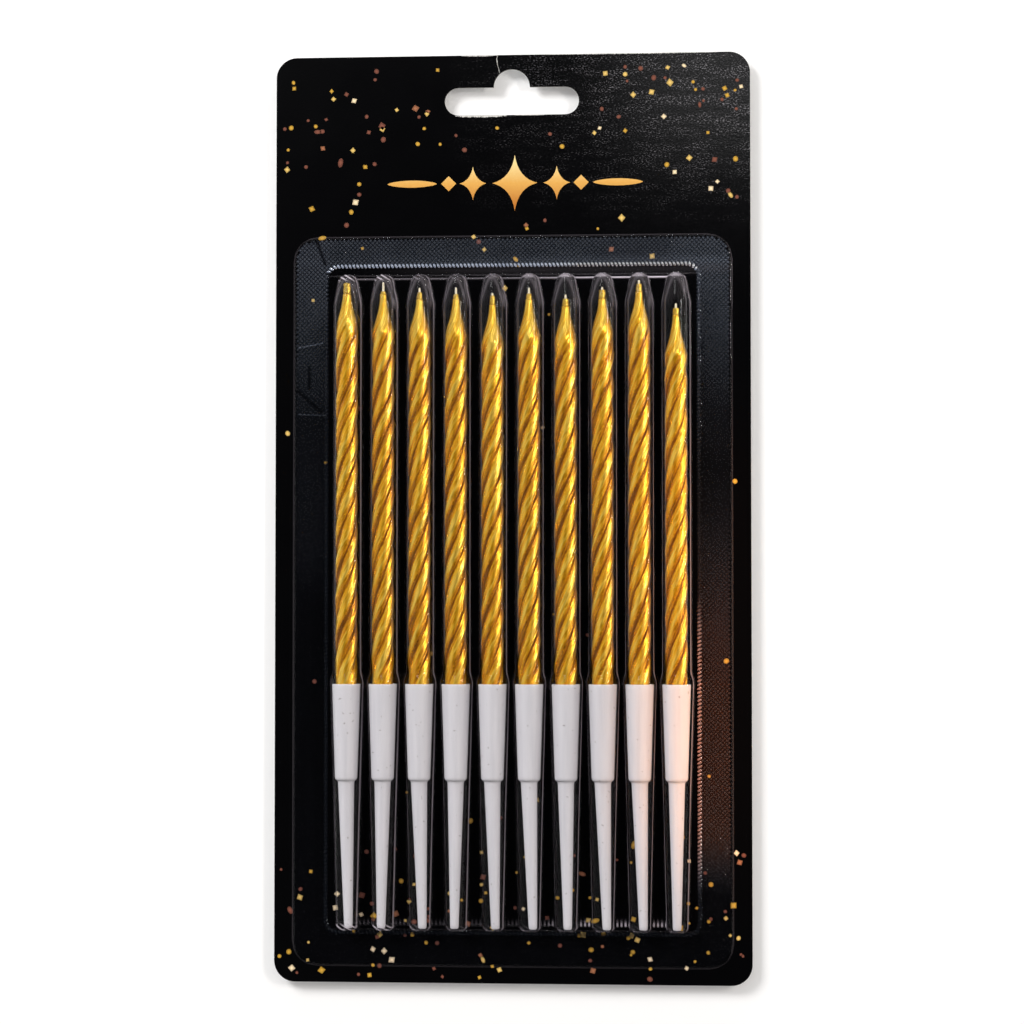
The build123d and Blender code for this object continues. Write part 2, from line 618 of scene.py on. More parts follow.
@dataclass(frozen=True)
class FoilFleck(Finish):
    """Printed confetti in copper, golds and cream, chosen by the tint kept on each fleck."""

    name: str = "foil_fleck"
    tints: tuple = (
        (0.0, (0.20, 0.065, 0.040)),
        (0.30, (0.60, 0.34, 0.04)),
        (0.52, (0.74, 0.50, 0.14)),
        (0.76, (0.88, 0.70, 0.44)),
        (0.90, (0.34, 0.13, 0.06)),
    )

    def shade(self, sketch: NodeSketch) -> Any:
        """Draws each fleck in its own tint, dulled a little here and there and brightened towards its middle
        as a painted highlight.

        Args:
            sketch: The material's node tree.

        Returns:
            The finish's shader.
        """
        place = self.place(sketch)
        # Painted highlight: each fleck is brighter towards its middle, which gives the flat print a rounded,
        # lit look.
        dull = sketch.noise(place, 900.0, 2.0) * 0.5 + 0.5 + sketch.kept("core").eased(0.25, 0.75) * 0.5
        colour = sketch.dimmed(sketch.ramp(sketch.kept("tint"), self.tints, stepped=True), dull)
        return self.principled(
            sketch, base_color=colour, roughness=0.38, metallic=0.15,
            normal=sketch.bump(sketch.noise(place, 2600.0), 0.2, 0.02),
        )


@dataclass(frozen=True)
class GoldInk(Finish):
    """Gold print that runs from pale at the top to orange gold at the bottom."""

    name: str = "gold_ink"
    middle: float = 0.0794
    reach: float = 0.006
    low: tuple = (0.55, 0.19, 0.025)
    mid: tuple = (0.80, 0.42, 0.09)
    high: tuple = (0.95, 0.74, 0.32)

    def shade(self, sketch: NodeSketch) -> Any:
        """Draws the run of colour and a fine print grain.

        Args:
            sketch: The material's node tree.

        Returns:
            The finish's shader.
        """
        place = self.place(sketch)
        _, y, _ = sketch.split(place)
        grain = sketch.noise(place, 1500.0, 3.0) * 0.12 - 0.06
        level = (y - self.middle) / (2 * self.reach) + 0.5 + grain
        colour = sketch.ramp(level, ((0.08, self.low), (0.5, self.mid), (0.92, self.high)))
        return self.principled(
            sketch, base_color=colour, roughness=0.4, metallic=0.1,
            normal=sketch.bump(sketch.noise(place, 2600.0), 0.2, 0.02),
        )


@dataclass(frozen=True)
class FilmSpot:
    """A point on the film: its place in metres, how far it faces to the right and how steep it stands."""

    x: Field
    y: Field
    z: Field
    right: Field
    slope: Field


@dataclass(frozen=True)
class FilmFinish(Finish):
    """What the film's finishes share: a clear sheet under a pale haze and a mirroring skin.

    Places and heights in the film's finishes are in metres, and a pair is where a fade starts and ends.
    """

    tint: tuple = (0.97, 0.97, 0.98)

    @staticmethod
    def outside(sketch: NodeSketch) -> Field:
        """1 on the side that a face points to and 0 on its back."""
        return 1.0 - sketch.field("ShaderNodeNewGeometry", out="Backfacing")

    def layers(self, sketch: NodeSketch, haze: Any, hazed: Any, mirrored: Any, **skin: Any) -> Any:
        """Lays haze and then a mirroring skin over the clear sheet.

        Args:
            sketch: The material's node tree.
            haze: The haze's shader.
            hazed: Share of the haze.
            mirrored: Share of the skin.
            **skin: Inputs of the skin's shader.

        Returns:
            The film's shader.
        """
        clear = sketch.add("ShaderNodeBsdfTransparent", {"Color": (*self.tint, 1.0)})
        sheet = sketch.add("ShaderNodeMixShader", {0: hazed, 1: clear.outputs[0], 2: haze})
        gloss = self.principled(sketch, base_color=WHITE, metallic=1.0, **skin)
        return sketch.add("ShaderNodeMixShader", {0: mirrored, 1: sheet.outputs[0], 2: gloss}).outputs[0]


@dataclass(frozen=True)
class ClearFilm(FilmFinish):
    """Thin clear film: what is behind it shows through, and it mirrors the room more at a slant."""

    name: str = "clear_film_sheet"
    index: float = 1.23
    most_mirrored: float = 0.14
    roughness: float = 0.04
    sheen_and_frost_tint: tuple = (0.76, 0.68, 0.76)
    sheen_and_frost_share: float = 0.6
    most_sheen_and_frost: float = 1.5
    rib_pitch: float = 0.95
    rib_slant: Point = (0.55, 0.83)
    rib_rise: Point = (0.0018, 0.0024)
    rib_fade: Point = (-0.034, -0.018)
    dome_ribs: Point = (0.0554, 0.0564)
    foot_ribs: Point = (-0.0966, -0.0954)
    wall_slope: Point = (0.80, 0.98)
    wall_rise: Point = (0.0010, 0.0014)
    inner_height: float = 0.0060
    inner_start: Point = (-0.034, -0.030)
    shoulder: Point = (0.0485, 0.0505)
    dome_start: Point = (0.0490, 0.0520)
    dome_end: Point = (0.0560, 0.0566)
    dome_rise: Point = (0.0018, 0.0026)
    land_line: float = 0.0586
    land_rise: Point = (0.0010, 0.0013)
    web_top: float = 0.0567
    web_foot: float = -0.0961
    web_rise: Point = (0.00082, 0.00095)
    web_stop: Point = (0.0017, 0.0020)
    rim_slope: Point = (0.02, 0.25)
    rim_stop: Point = (0.0009, 0.0012)

    @property
    def rib_turn(self) -> float:
        """Angle of the ribs' wave in a metre."""
        return math.tau / (self.rib_pitch * MM)

    def ribs(self, spot: FilmSpot) -> Field:
        """Slanted ribs moulded in both ends of each channel.

        Args:
            spot: The point on the film.

        Returns:
            A wave from -1 to 1, and 0 away from the ends.
        """
        ends = spot.y.eased(*self.dome_ribs) + (1.0 - spot.y.eased(*self.foot_ribs))
        wave = ((spot.x * self.rib_slant[0] + spot.y * self.rib_slant[1]) * self.rib_turn).run("SINE")
        return wave * ends.clamped() * spot.z.eased(*self.rib_rise)

    def walls(self, sketch: NodeSketch, spot: FilmSpot) -> Field:
        """Painted highlight lines on the channels' steep walls, stronger where they face right, on their
        upper inner edges and in streaks on their right shoulders.

        Args:
            sketch: The material's node tree.
            spot: The point on the film.

        Returns:
            The amount of painted highlight.
        """
        right = spot.right.eased(-0.2, 0.2)
        steep = spot.slope.eased(*self.wall_slope) * spot.z.eased(*self.wall_rise)
        steep = steep * (right * 0.4 + 0.6 + spot.x.eased(-0.03, 0.03) * (1.0 - right) * 0.25)
        inner = spot.z.hump(self.inner_height, 0.0002) * spot.y.eased(*self.inner_start) * 0.12
        streaks = sketch.noise(sketch.combine(spot.x, spot.y * 0.1, spot.z), 1500.0, 2.0).eased(0.4, 0.7)
        return steep + inner + spot.y.eased(*self.shoulder) * spot.right.eased(0.5, 0.8) * streaks * 0.3

    def domes(self, spot: FilmSpot) -> Field:
        """Painted sheen on the channels' dome ends and on the flat land above them, with a painted highlight
        on the domes' tops towards the right.

        Args:
            spot: The point on the film.

        Returns:
            The amount of strain.
        """
        high = spot.z.eased(*self.dome_rise)
        topped = spot.y.eased(*self.dome_end) * high * spot.x.eased(-0.012, 0.012) * (1.0 - spot.slope)
        domed = spot.y.eased(*self.dome_start) * high * (spot.slope * 0.07 + 0.012)
        land = spot.y.hump(self.land_line, 0.0010) * spot.x.eased(-0.040, 0.0)
        return topped * 0.7 + domed + land * 0.026 * (1.0 - spot.z.eased(*self.land_rise))

    def web_ends(self, spot: FilmSpot) -> Field:
        """Painted highlights along the web's two ends: a lip at the top and teeth at the foot.

        Args:
            spot: The point on the film.

        Returns:
            The amount of strain.
        """
        teeth = ((spot.x * self.rib_turn).run("SINE") * 0.5 + 0.5).eased(0.25, 0.8)
        lip = spot.y.hump(self.web_top, 0.00027) * (spot.x.eased(-0.005, 0.036) * 1.6 + 0.30)
        foot = spot.y.hump(self.web_foot, 0.0008) * teeth * (spot.x.eased(0.004, 0.016) * 0.8 + 0.1)
        return (lip + foot) * spot.z.eased(*self.web_rise) * (1.0 - spot.z.eased(*self.web_stop))

    def shade(self, sketch: NodeSketch) -> Any:
        """Draws the sheet with painted pale highlights on its steep walls, domes and web ends, and moulded,
        whitened ribs in its channels' ends.

        Args:
            sketch: The material's node tree.

        Returns:
            The finish's shader.
        """
        x, y, z = sketch.split(self.place(sketch))
        facing_x, _, facing_z = sketch.split(sketch.field("ShaderNodeNewGeometry", out="Normal"))
        spot = FilmSpot(x, y, z, facing_x, 1.0 - facing_z.run("ABSOLUTE"))
        ribs, outside = self.ribs(spot), self.outside(sketch)
        # Where the flange's edge tilts, the mirroring skin is turned off and a little painted sheen is laid
        # on instead.
        rim = spot.slope.eased(*self.rim_slope) * (1.0 - z.eased(*self.rim_stop))
        # The pale layer: whitened ribs, painted sheen at the flange's edge, and painted highlight and sheen
        # on the walls, domes and web ends.
        sheen_and_frost = ribs.clamped() * (1.0 - x.eased(*self.rib_fade) * 0.9) + rim * 0.06
        sheen_and_frost = sheen_and_frost + self.walls(sketch, spot) + self.domes(spot) + self.web_ends(spot)
        sheen_and_frost = sheen_and_frost.run("MINIMUM", self.most_sheen_and_frost) * outside * self.sheen_and_frost_share
        ripple = sketch.noise(sketch.combine(x, y * 0.12, z), 260.0, 2.0)
        normal = sketch.bump(ribs * 0.9 + ripple * 0.5, 0.55, 0.06)
        slant = sketch.field("ShaderNodeFresnel", {"IOR": self.index, "Normal": normal})
        mirrored = slant.run("MINIMUM", self.most_mirrored) * outside * (1.0 - rim)
        pale = self.principled(sketch, base_color=(*self.sheen_and_frost_tint, 1.0), roughness=0.4)
        return self.layers(sketch, pale, sheen_and_frost, mirrored, roughness=self.roughness, normal=normal)


@dataclass(frozen=True)
class Crease:
    """A straight crease in the pressed film, in millimetres, and how strongly it shows."""

    start: Point
    end: Point
    half_width: float
    share: float = 1.0

    def amount(self, x: Field, y: Field) -> Field:
        """How far a place lies on the crease.

        Args:
            x: Place across the card, in metres.
            y: Place up the card, in metres.

        Returns:
            The share on the crease, fading to 0 beside it.
        """
        reach = math.dist(self.start, self.end)
        across, up = (self.end[0] - self.start[0]) / reach, (self.end[1] - self.start[1]) / reach
        dx, dy = x - self.start[0] * MM, y - self.start[1] * MM
        along, beside = dx * across + dy * up, dy * across - dx * up
        inside = along.eased(-0.3 * MM, 0.0) * (1.0 - along.eased(reach * MM, (reach + 0.3) * MM))
        return beside.hump(0.0, self.half_width * MM) * inside * self.share


@dataclass(frozen=True)
class PressedFilm(FilmFinish):
    """Film whitened by the sealing tool, under painted reflection: its haze is strongest along the top, less
    at the right and least elsewhere, and warm at the lower right.
    """

    name: str = "pressed_film"
    haze: tuple = (0.48, 0.58, 0.78)
    warm_reflection_tint: tuple = (0.80, 0.34, 0.20)
    share: float = 0.035
    gloss_share: float = 0.028
    least: float = 0.035
    foot: Point = (-0.090, -0.074)
    top_range: Point = (0.020, 0.066)
    right_side: Point = (0.034, 0.042)
    right_fade: Point = (0.20, 0.30)
    right_reflection_amount: float = 0.36
    right_highlight_boost: float = 0.0
    dip_place: Point = (0.010, 0.025)
    warm_reflection_side: Point = (0.030, 0.040)
    warm_reflection_fade: Point = (-0.045, 0.010)
    left_side: Point = (-0.046, -0.042)
    left_start: Point = (-0.024, -0.004)
    left_step: Point = (0.0241, 0.0247)
    edge_highlight_place: Point = (0.0606, 0.0011)
    edge_highlight: float = 0.8
    stud_range: Point = (0.00080, 0.00090)
    stud_share: float = 0.75
    crease_highlights: tuple = (
        Crease((-51.9, 40.2), (-45.2, 41.5), 0.16),
        Crease((-51.9, 24.5), (-44.4, 24.2), 0.12, 0.6),
    )
    crease_shading: tuple = (
        Crease((-48.4, 30.4), (-48.4, 35.8), 0.42),
        Crease((-52.0, 30.8), (-45.4, 25.0), 0.42),
        Crease((-46.7, 66.0), (-44.6, 60.2), 0.40),
        Crease((-52.0, 66.4), (-46.4, 66.4), 0.9),
    )
    creased: bool = True

    def amount(self, worn: Field, x: Field, y: Field, warm: Field) -> Field:
        """How much haze a place gets: the tool's whitening and painted reflection by side, with painted
        highlights and shade along the creases.

        Args:
            worn: Uneven pressure, about 1.
            x: Place across the card.
            y: Place up the card.
            warm: How much painted warm reflection there is.

        Returns:
            The amount of haze.
        """
        # Painted reflection: more haze where the band mirrors the room, along the top and at the lower right.
        right = x.eased(*self.right_side) * (1.0 - y.eased(*self.right_fade)) * y.eased(*self.foot)
        right = right * self.right_reflection_amount * (1.0 - y.hump(*self.dip_place) * 0.8)
        amount = (y.eased(*self.top_range) * 0.85 + right + self.least) * worn
        # Painted highlight along the band's inner top edge.
        amount = amount + y.hump(*self.edge_highlight_place) * (x.eased(-0.045, 0.045) * 0.8 + 0.3) * self.edge_highlight
        # Painted highlight on the upper right, used for the bead.
        amount = amount * (x.eased(0.0, 0.030) * y.eased(0.0, 0.05) * self.right_highlight_boost + 1.0)
        if not self.creased:
            return amount
        # Painted sheen in two steps down the left band.
        left = y.eased(*self.left_start) * 0.11 + y.eased(*self.left_step) * 0.09
        amount = amount + left * (1.0 - x.eased(*self.left_side)) + warm * 0.30
        # Painted highlights along the bright creases and painted shade along the dark ones.
        bright = sum(crease.amount(x, y) for crease in self.crease_highlights)
        dark = sum(crease.amount(x, y) for crease in self.crease_shading)
        return (amount + bright * 2.2) * (1.0 - dark.clamped() * 0.85)

    def shade(self, sketch: NodeSketch) -> Any:
        """Draws a clear sheet with a thin haze, whitest on the studs and tinted warm as a painted reflection
        at the lower right, and a dull shine.

        Args:
            sketch: The material's node tree.

        Returns:
            The finish's shader.
        """
        place = self.place(sketch)
        x, y, z = sketch.split(place)
        worn = sketch.noise(place, 140.0, 3.0) * 0.8 + 0.6
        # Painted warm reflection at the lower right of the band.
        warm = x.eased(*self.warm_reflection_side) * (1.0 - y.eased(*self.warm_reflection_fade)) * y.eased(*self.foot)
        studs = z.eased(*self.stud_range) * self.stud_share * 1.9 + (1.0 - self.stud_share)
        amount = self.amount(worn, x, y, warm) * studs
        tone = sketch.blend(warm, self.haze, self.warm_reflection_tint)
        dull = self.principled(sketch, base_color=tone, roughness=0.6)
        mirrored = amount * self.outside(sketch) * self.gloss_share
        return self.layers(sketch, dull, amount * self.share, mirrored, roughness=0.12)


@dataclass(frozen=True)
class GoldWax(Finish):
    """Wax in a metallic gold coat, with painted shade: bright on the ridges, brown in the grooves and on each
    lobe's lower side, away from the light.
    """

    name: str = "gold_wax_coat"
    groove: tuple = (0.28, 0.090, 0.001)
    flank: tuple = (0.84, 0.335, 0.004)
    ridge: tuple = (0.99, 0.515, 0.012)
    crest: tuple = (1.0, 0.65, 0.08)

    def shade(self, sketch: NodeSketch) -> Any:
        """Draws the coat from the painted shade kept on the mesh, with creases along the twist painted
        lighter and darker, and a fine grain of painted sparkle.

        Args:
            sketch: The material's node tree.

        Returns:
            The finish's shader.
        """
        groove_lee_shade, twist = sketch.kept("groove"), sketch.kept("twist", "Vector")
        grain = sketch.noise(self.place(sketch), 2700.0, 2.0, 0.7).eased(0.46, 0.72)
        crease = sketch.noise(twist, 4.2, 3.0, 0.55)
        fold = sketch.noise(twist, 1.7, 2.0, 0.5)
        # Painted shade and light: the kept groove and lee shade, the twist's creases and folds, and the
        # sparkle grain set how light or dark the colour is.
        level = groove_lee_shade * 0.80 + (crease - 0.5) * 1.4 + (fold - 0.5) - grain * 0.22 + 0.11
        colour = sketch.ramp(level.clamped(), (
            (0.0, self.crest), (0.20, self.ridge), (0.48, self.flank), (0.88, self.groove),
        ))
        rough = grain * 0.06 + groove_lee_shade * 0.16 + 0.15
        normal = sketch.bump(fold - crease + grain * 0.06, 0.8, 0.2)
        return self.principled(
            sketch, base_color=colour, metallic=0.72, roughness=rough, normal=normal,
            coat_weight=0.32 - groove_lee_shade.clamped() * 0.26, coat_roughness=0.05, coat_ior=1.5, coat_normal=normal,
        )


@dataclass(frozen=True)
class GoldWick(Finish):
    """Wick dipped in the same gold coat, with pale strands where its end is bare."""

    name: str = "gold_dipped_wick"
    dark: tuple = (0.62, 0.31, 0.012)
    light: tuple = (0.96, 0.68, 0.12)
    strand: tuple = (0.90, 0.80, 0.55)

    def shade(self, sketch: NodeSketch) -> Any:
        """Draws coated strands, pale above the collar of wax.

        Args:
            sketch: The material's node tree.

        Returns:
            The finish's shader.
        """
        bare = sketch.kept("bare")
        grain = sketch.noise(self.place(sketch), 2400.0, 3.0, 0.6)
        colour = sketch.ramp(grain, ((0.3, self.dark), (0.62, self.light)))
        colour = sketch.blend(bare, colour, self.strand)
        return self.principled(
            sketch, base_color=colour, metallic=0.9 - bare * 0.8, roughness=grain * 0.2 + 0.26,
            normal=sketch.bump(grain, 0.4, 0.06),
        )


@dataclass(frozen=True)
class WhitePlastic(Finish):
    """Glossy moulded white plastic with faint flow lines and a few dark specks."""

    name: str = "moulded_white"
    light: tuple = (0.69, 0.67, 0.675)
    dark: tuple = (0.63, 0.615, 0.625)
    speck: tuple = (0.20, 0.17, 0.14)

    def shade(self, sketch: NodeSketch) -> Any:
        """Draws the plastic's tone, flow lines and specks.

        Args:
            sketch: The material's node tree.

        Returns:
            The finish's shader.
        """
        place = self.place(sketch)
        x, y, z = sketch.split(place)
        flow = sketch.noise(sketch.combine(x, y * 0.05, z), 900.0, 3.0)
        speck = sketch.noise(place, 1500.0, 0.0).eased(0.81, 0.83)
        colour = sketch.ramp(flow, ((0.3, self.dark), (0.62, self.light)))
        colour = sketch.blend(speck * 0.6, colour, self.speck)
        return self.principled(
            sketch, base_color=colour, roughness=flow * 0.1 + 0.2, ior=1.5,
            normal=sketch.bump(flow, 0.12, 0.05),
        )


@dataclass(frozen=True)
class StudioFloor(Finish):
    """Plain white floor that stays white to the eye and keeps the pack's shadow."""

    name: str = "studio_floor"
    lift: float = 0.08
    board: float = 0.92

    def shade(self, sketch: NodeSketch) -> Any:
        """Draws a white board with a lift that only eye and mirror rays see.

        Args:
            sketch: The material's node tree.

        Returns:
            The finish's shader.
        """
        seen = sketch.add("ShaderNodeLightPath")
        rays = ("Is Camera Ray", "Is Glossy Ray", "Is Transmission Ray")
        eye = sum(Field(sketch, seen.outputs[ray]) for ray in rays)
        board = sketch.add("ShaderNodeBsdfDiffuse", {"Color": (*[self.board] * 3, 1.0)})
        glow = sketch.add("ShaderNodeEmission", {"Strength": eye.clamped() * self.lift})
        both = sketch.add("ShaderNodeAddShader", {0: board.outputs[0], 1: glow.outputs[0]})
        return both.outputs[0]


def arc(centre: Point, radius: float, start: float, end: float, steps: int) -> list[Point]:
    """Points along an arc, angles in degrees, both ends included."""
    angles = np.radians(np.linspace(start, end, steps + 1))
    return [(centre[0] + radius * math.cos(a), centre[1] + radius * math.sin(a)) for a in angles]


@dataclass
class HangCard:
    """The printed hang card: board, confetti print, ornament and worn edges."""

    corner: float = 5.0
    edge_round: float = 0.06
    slot_length: float = 32.0
    slot_height: float = 6.6
    slot_below_top: float = 11.1
    crown_radius: float = 4.3
    print_height: float = 0.012
    ornament_x: float = 0.7
    ornament_y: float = 79.4
    ornament_width: float = 61.0
    middle_star: tuple = (6.7, 5.4, 0.16)
    side_stars: tuple = ((10.0, 4.0, 3.2, 0.18), (15.8, 1.8, 1.8, 0.5))
    rule_start: float = 18.6
    rule_thick: float = 1.7
    fleck_seed: int = 41
    fleck_size: float = 1.6
    fleck_density: float = 43000.0
    zone_cell: float = 2.0
    zone_margin: float = 1.2
    slot_clear: Point = (1.5, 7.0)
    ornament_clear: Point = (33.0, 8.0)
    corner_clear: float = 3.5
    top_crowd: tuple = ((92.0, 1.0), (70.0, 0.62), (62.0, 0.30))
    foot_crowd: tuple = ((-88.0, 1.0), (-78.0, 0.65), (-62.0, 0.16))
    side_line: float = 44.0
    side_crowd: Point = (0.06, 0.03)
    wear_seed: int = 3

    def __post_init__(self) -> None:
        """Reads the card's place from the frame."""
        self.low, self.high = millimetres("hang_card")
        self.slot_line = float(self.high[1]) - self.slot_below_top

    def outline(self) -> list[Point]:
        """Outer edge of the card, anticlockwise.

        Returns:
            Points along the edge.
        """
        x, top, bottom, r = self.high[0] - self.corner, self.high[1], self.low[1], self.corner
        edge = arc((x, top - r), r, 0, 90, 14) + arc((-x, top - r), r, 90, 180, 14)
        return edge + arc((-x, bottom + r), r, 180, 270, 14) + arc((x, bottom + r), r, 270, 360, 14)

    def slot_edge(self) -> list[Point]:
        """Edge of the hang slot with its crown, anticlockwise.

        Returns:
            Points along the edge.
        """
        r = self.slot_height / 2
        x, y = self.slot_length / 2 - r, self.slot_line
        edge = arc((x, y), r, -90, 90, 14)
        edge += arc((0, y + r), self.crown_radius, 0, 180, 24)
        return edge + arc((-x, y), r, 90, 270, 14)

    def build_board(self) -> bpy.types.Object:
        """Builds the card with its black face, pale back and white cut edges.

        Returns:
            The card piece.
        """
        thickness = float(self.high[2] - self.low[2])
        curve = bpy.data.curves.new("hang_card_outline", "CURVE")
        curve.dimensions, curve.fill_mode = "2D", "BOTH"
        curve.bevel_depth, curve.bevel_resolution = self.edge_round * MM, 2
        curve.offset = -self.edge_round * MM
        curve.extrude = (thickness / 2 - self.edge_round) * MM
        for edge in (self.outline(), self.slot_edge()):
            spline = curve.splines.new("POLY")
            spline.points.add(len(edge) - 1)
            flat = [c for x, y in edge for c in (x * MM, y * MM, 0.0, 1.0)]
            spline.points.foreach_set("co", flat)
            spline.use_cyclic_u = True
        host = bpy.data.objects.new("hang_card_flat", curve)
        bpy.context.scene.collection.objects.link(host)
        piece = plain_copy(host, "card_board")
        mesh = piece.data
        middle = float(self.low[2] + self.high[2]) / 2 * MM
        for vertex in mesh.vertices:
            vertex.co.z += middle
        mesh.materials.clear()
        for finish in (LaminatedBlack(), PaperCore(), GreyBoard()):
            mesh.materials.append(finish.material())
        for face in mesh.polygons:
            face.use_smooth = False
            face.material_index = 0 if face.normal.z > 0.5 else 2 if face.normal.z < -0.5 else 1
        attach(piece, Body.PACK.value)
        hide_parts("hang_card")
        return piece

    def crowding(self, x: float, y: float) -> float:
        """How crowded the confetti is at a place: most at the top and the foot, none in the clear areas.

        Args:
            x: Place across the card.
            y: Place up the card.

        Returns:
            A share from 0 to 1.
        """
        beside, above = self.slot_clear
        wide, tall = self.ornament_clear
        in_slot = abs(x) < self.slot_length / 2 + beside and abs(y - self.slot_line - beside) < above
        in_ornament = abs(x - self.ornament_x) < wide and abs(y - self.ornament_y) < tall
        in_corner = min(abs(x) - self.high[0], abs(y) - self.high[1]) > -self.corner_clear
        if in_slot or in_ornament or in_corner:
            return 0.0
        top = next((share for line, share in self.top_crowd if y > line), 0.0)
        foot = next((share for line, share in self.foot_crowd if y < line), 0.0)
        return max(top, foot, self.side_crowd[0] if abs(x) > self.side_line else self.side_crowd[1])

    def print_zone(self) -> bpy.types.Mesh:
        """Flat cells of the face that may carry confetti, each with how crowded it is.

        Returns:
            A mesh with a crowd number on each face.
        """
        step, margin = self.zone_cell, self.zone_margin
        columns = np.arange(self.low[0] + margin, self.high[0] - margin - step, step)
        lines = np.arange(self.low[1] + margin, self.high[1] - margin - step, step)
        points, faces, crowd = [], [], []
        for x in columns:
            for y in lines:
                amount = self.crowding(x + step / 2, y + step / 2)
                if amount == 0.0:
                    continue
                start = len(points)
                points += [(x, y), (x + step, y), (x + step, y + step), (x, y + step)]
                faces.append((start, start + 1, start + 2, start + 3))
                crowd.append(amount)
        height = float(self.high[2])
        piece = mesh_piece("print_zone", [(x, y, height) for x, y in points], faces, [])
        mesh = piece.data
        bpy.data.objects.remove(piece)
        mesh.attributes.new("crowd", "FLOAT", "FACE").data.foreach_set("value", crowd)
        return mesh

    def fleck_tree(self) -> RuleTree:
        """Draws up the rule that scatters confetti of three shapes over the print zone.

        Returns:
            The confetti rule.
        """
        tree = RuleTree("confetti_print")
        density = tree.size("Flecks a Square Metre")
        size = tree.size("Fleck Size")
        thickness = tree.size("Print Height")
        seed = tree.size("Seed", "Int")
        crowd = tree.field("GeometryNodeInputNamedAttribute", {"Name": "crowd"}, data_type="FLOAT")
        joined = tree.add("GeometryNodeJoinGeometry")
        for place, cut in enumerate(shape.value for shape in FleckShape):
            own_seed = seed + 10.0 * place
            points = tree.add(
                "GeometryNodeDistributePointsOnFaces",
                {"Mesh": tree.base, "Density": crowd * density * cut.share, "Seed": own_seed},
            )
            unit = {"Vertices": cut.corners, "Radius": 0.5, "Depth": 1.0}
            disc = tree.field("GeometryNodeMeshCylinder", unit, fill_type="TRIANGLE_FAN")
            local_x, local_y, _ = tree.split(tree.field("GeometryNodeInputPosition"))
            away = (local_x * local_x + local_y * local_y).run("SQRT")
            # Kept for the painted highlight: 1 at the fleck's middle, 0 at its edge.
            disc = tree.keep(disc, "core", 1.0 - away * 2.0)
            turn = tree.combine(0.0, 0.0, tree.chance(0.0, math.tau, own_seed + 1.0))
            wide = tree.chance(0.7, 1.35, own_seed + 2.0) * size * cut.scale
            long = wide * tree.chance(0.85, 1.15, own_seed + 3.0) * cut.stretch
            flecks = tree.field("GeometryNodeInstanceOnPoints", {
                "Points": points.outputs[0], "Instance": disc, "Rotation": turn,
                "Scale": tree.combine(wide, long, thickness),
            })
            tinted = tree.keep(flecks, "tint", tree.chance(*cut.tints, own_seed + 4.0), "INSTANCE")
            tree.feed(joined.inputs[0], tinted)
        tree.close(joined.outputs[0])
        return tree

    def build_flecks(self) -> bpy.types.Object:
        """Scatters the confetti print.

        Returns:
            The confetti piece.
        """
        values = {
            "Flecks a Square Metre": self.fleck_density, "Fleck Size": self.fleck_size * MM,
            "Print Height": 2 * self.print_height * MM, "Seed": self.fleck_seed,
            "Finish": FoilFleck().material(),
        }
        piece = self.fleck_tree().grow("confetti_print", values, self.print_zone())
        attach(piece, Body.PACK.value)
        return piece

    @staticmethod
    def star(x: float, y: float, tall: float, wide: float, waist: float) -> list[Point]:
        """A four-point star with hollow sides.

        Args:
            x: Its middle across the card.
            y: Its middle up the card.
            tall: Reach of its upright points.
            wide: Reach of its level points.
            waist: How full its sides are, 0.5 for straight ones.

        Returns:
            The outline, anticlockwise.
        """
        points: list[Point] = []
        tips = [(wide, 0.0), (0.0, tall), (-wide, 0.0), (0.0, -tall)]
        for (ax, ay), (bx, by) in zip(tips, tips[1:] + tips[:1]):
            pull = (ax + bx) * waist, (ay + by) * waist
            for t in np.linspace(0, 1, 9)[:-1]:
                one, two, three = (1 - t) ** 2, 2 * t * (1 - t), t * t
                points.append((x + one * ax + two * pull[0] + three * bx,
                               y + one * ay + two * pull[1] + three * by))
        return points

    @staticmethod
    def rule(start: float, end: float, y: float, thick: float) -> list[Point]:
        """A rule that swells in the middle and runs to a point at each end.

        Args:
            start: Its left end.
            end: Its right end.
            y: Its middle up the card.
            thick: Its greatest thickness.

        Returns:
            The outline, anticlockwise.
        """
        along = np.linspace(0, 1, 25)
        swell = thick / 2 * np.sin(np.pi * along) ** 0.6
        places = start + (end - start) * along
        lower = [(float(px), y - float(s)) for px, s in zip(places, swell)]
        upper = [(float(px), y + float(s)) for px, s in zip(places[-2:0:-1], swell[-2:0:-1])]
        return lower + upper

    def ornament_shapes(self) -> list[list[Point]]:
        """Outlines of the printed ornament: a star, small stars, diamonds and tapered rules.

        Returns:
            The outlines, each anticlockwise.
        """
        x, y, half = self.ornament_x, self.ornament_y, self.ornament_width / 2
        shapes = [self.star(x, y, *self.middle_star)]
        for side in (-1, 1):
            shapes += [self.star(x + side * away, y, *star) for away, *star in self.side_stars]
            left, right = sorted((x + side * self.rule_start, x + side * half))
            shapes.append(self.rule(left, right, y, self.rule_thick))
        return shapes

    def build_ornament(self) -> bpy.types.Object:
        """Builds the gold ornament in the middle of the header.

        Returns:
            The ornament piece.
        """
        top = float(self.high[2])
        finish = GoldInk(middle=self.ornament_y * MM).material()
        points, faces = prisms(self.ornament_shapes(), top - self.print_height, top + self.print_height)
        piece = mesh_piece("header_ornament", points, faces, [finish], smooth=False)
        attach(piece, Body.PACK.value)
        return piece

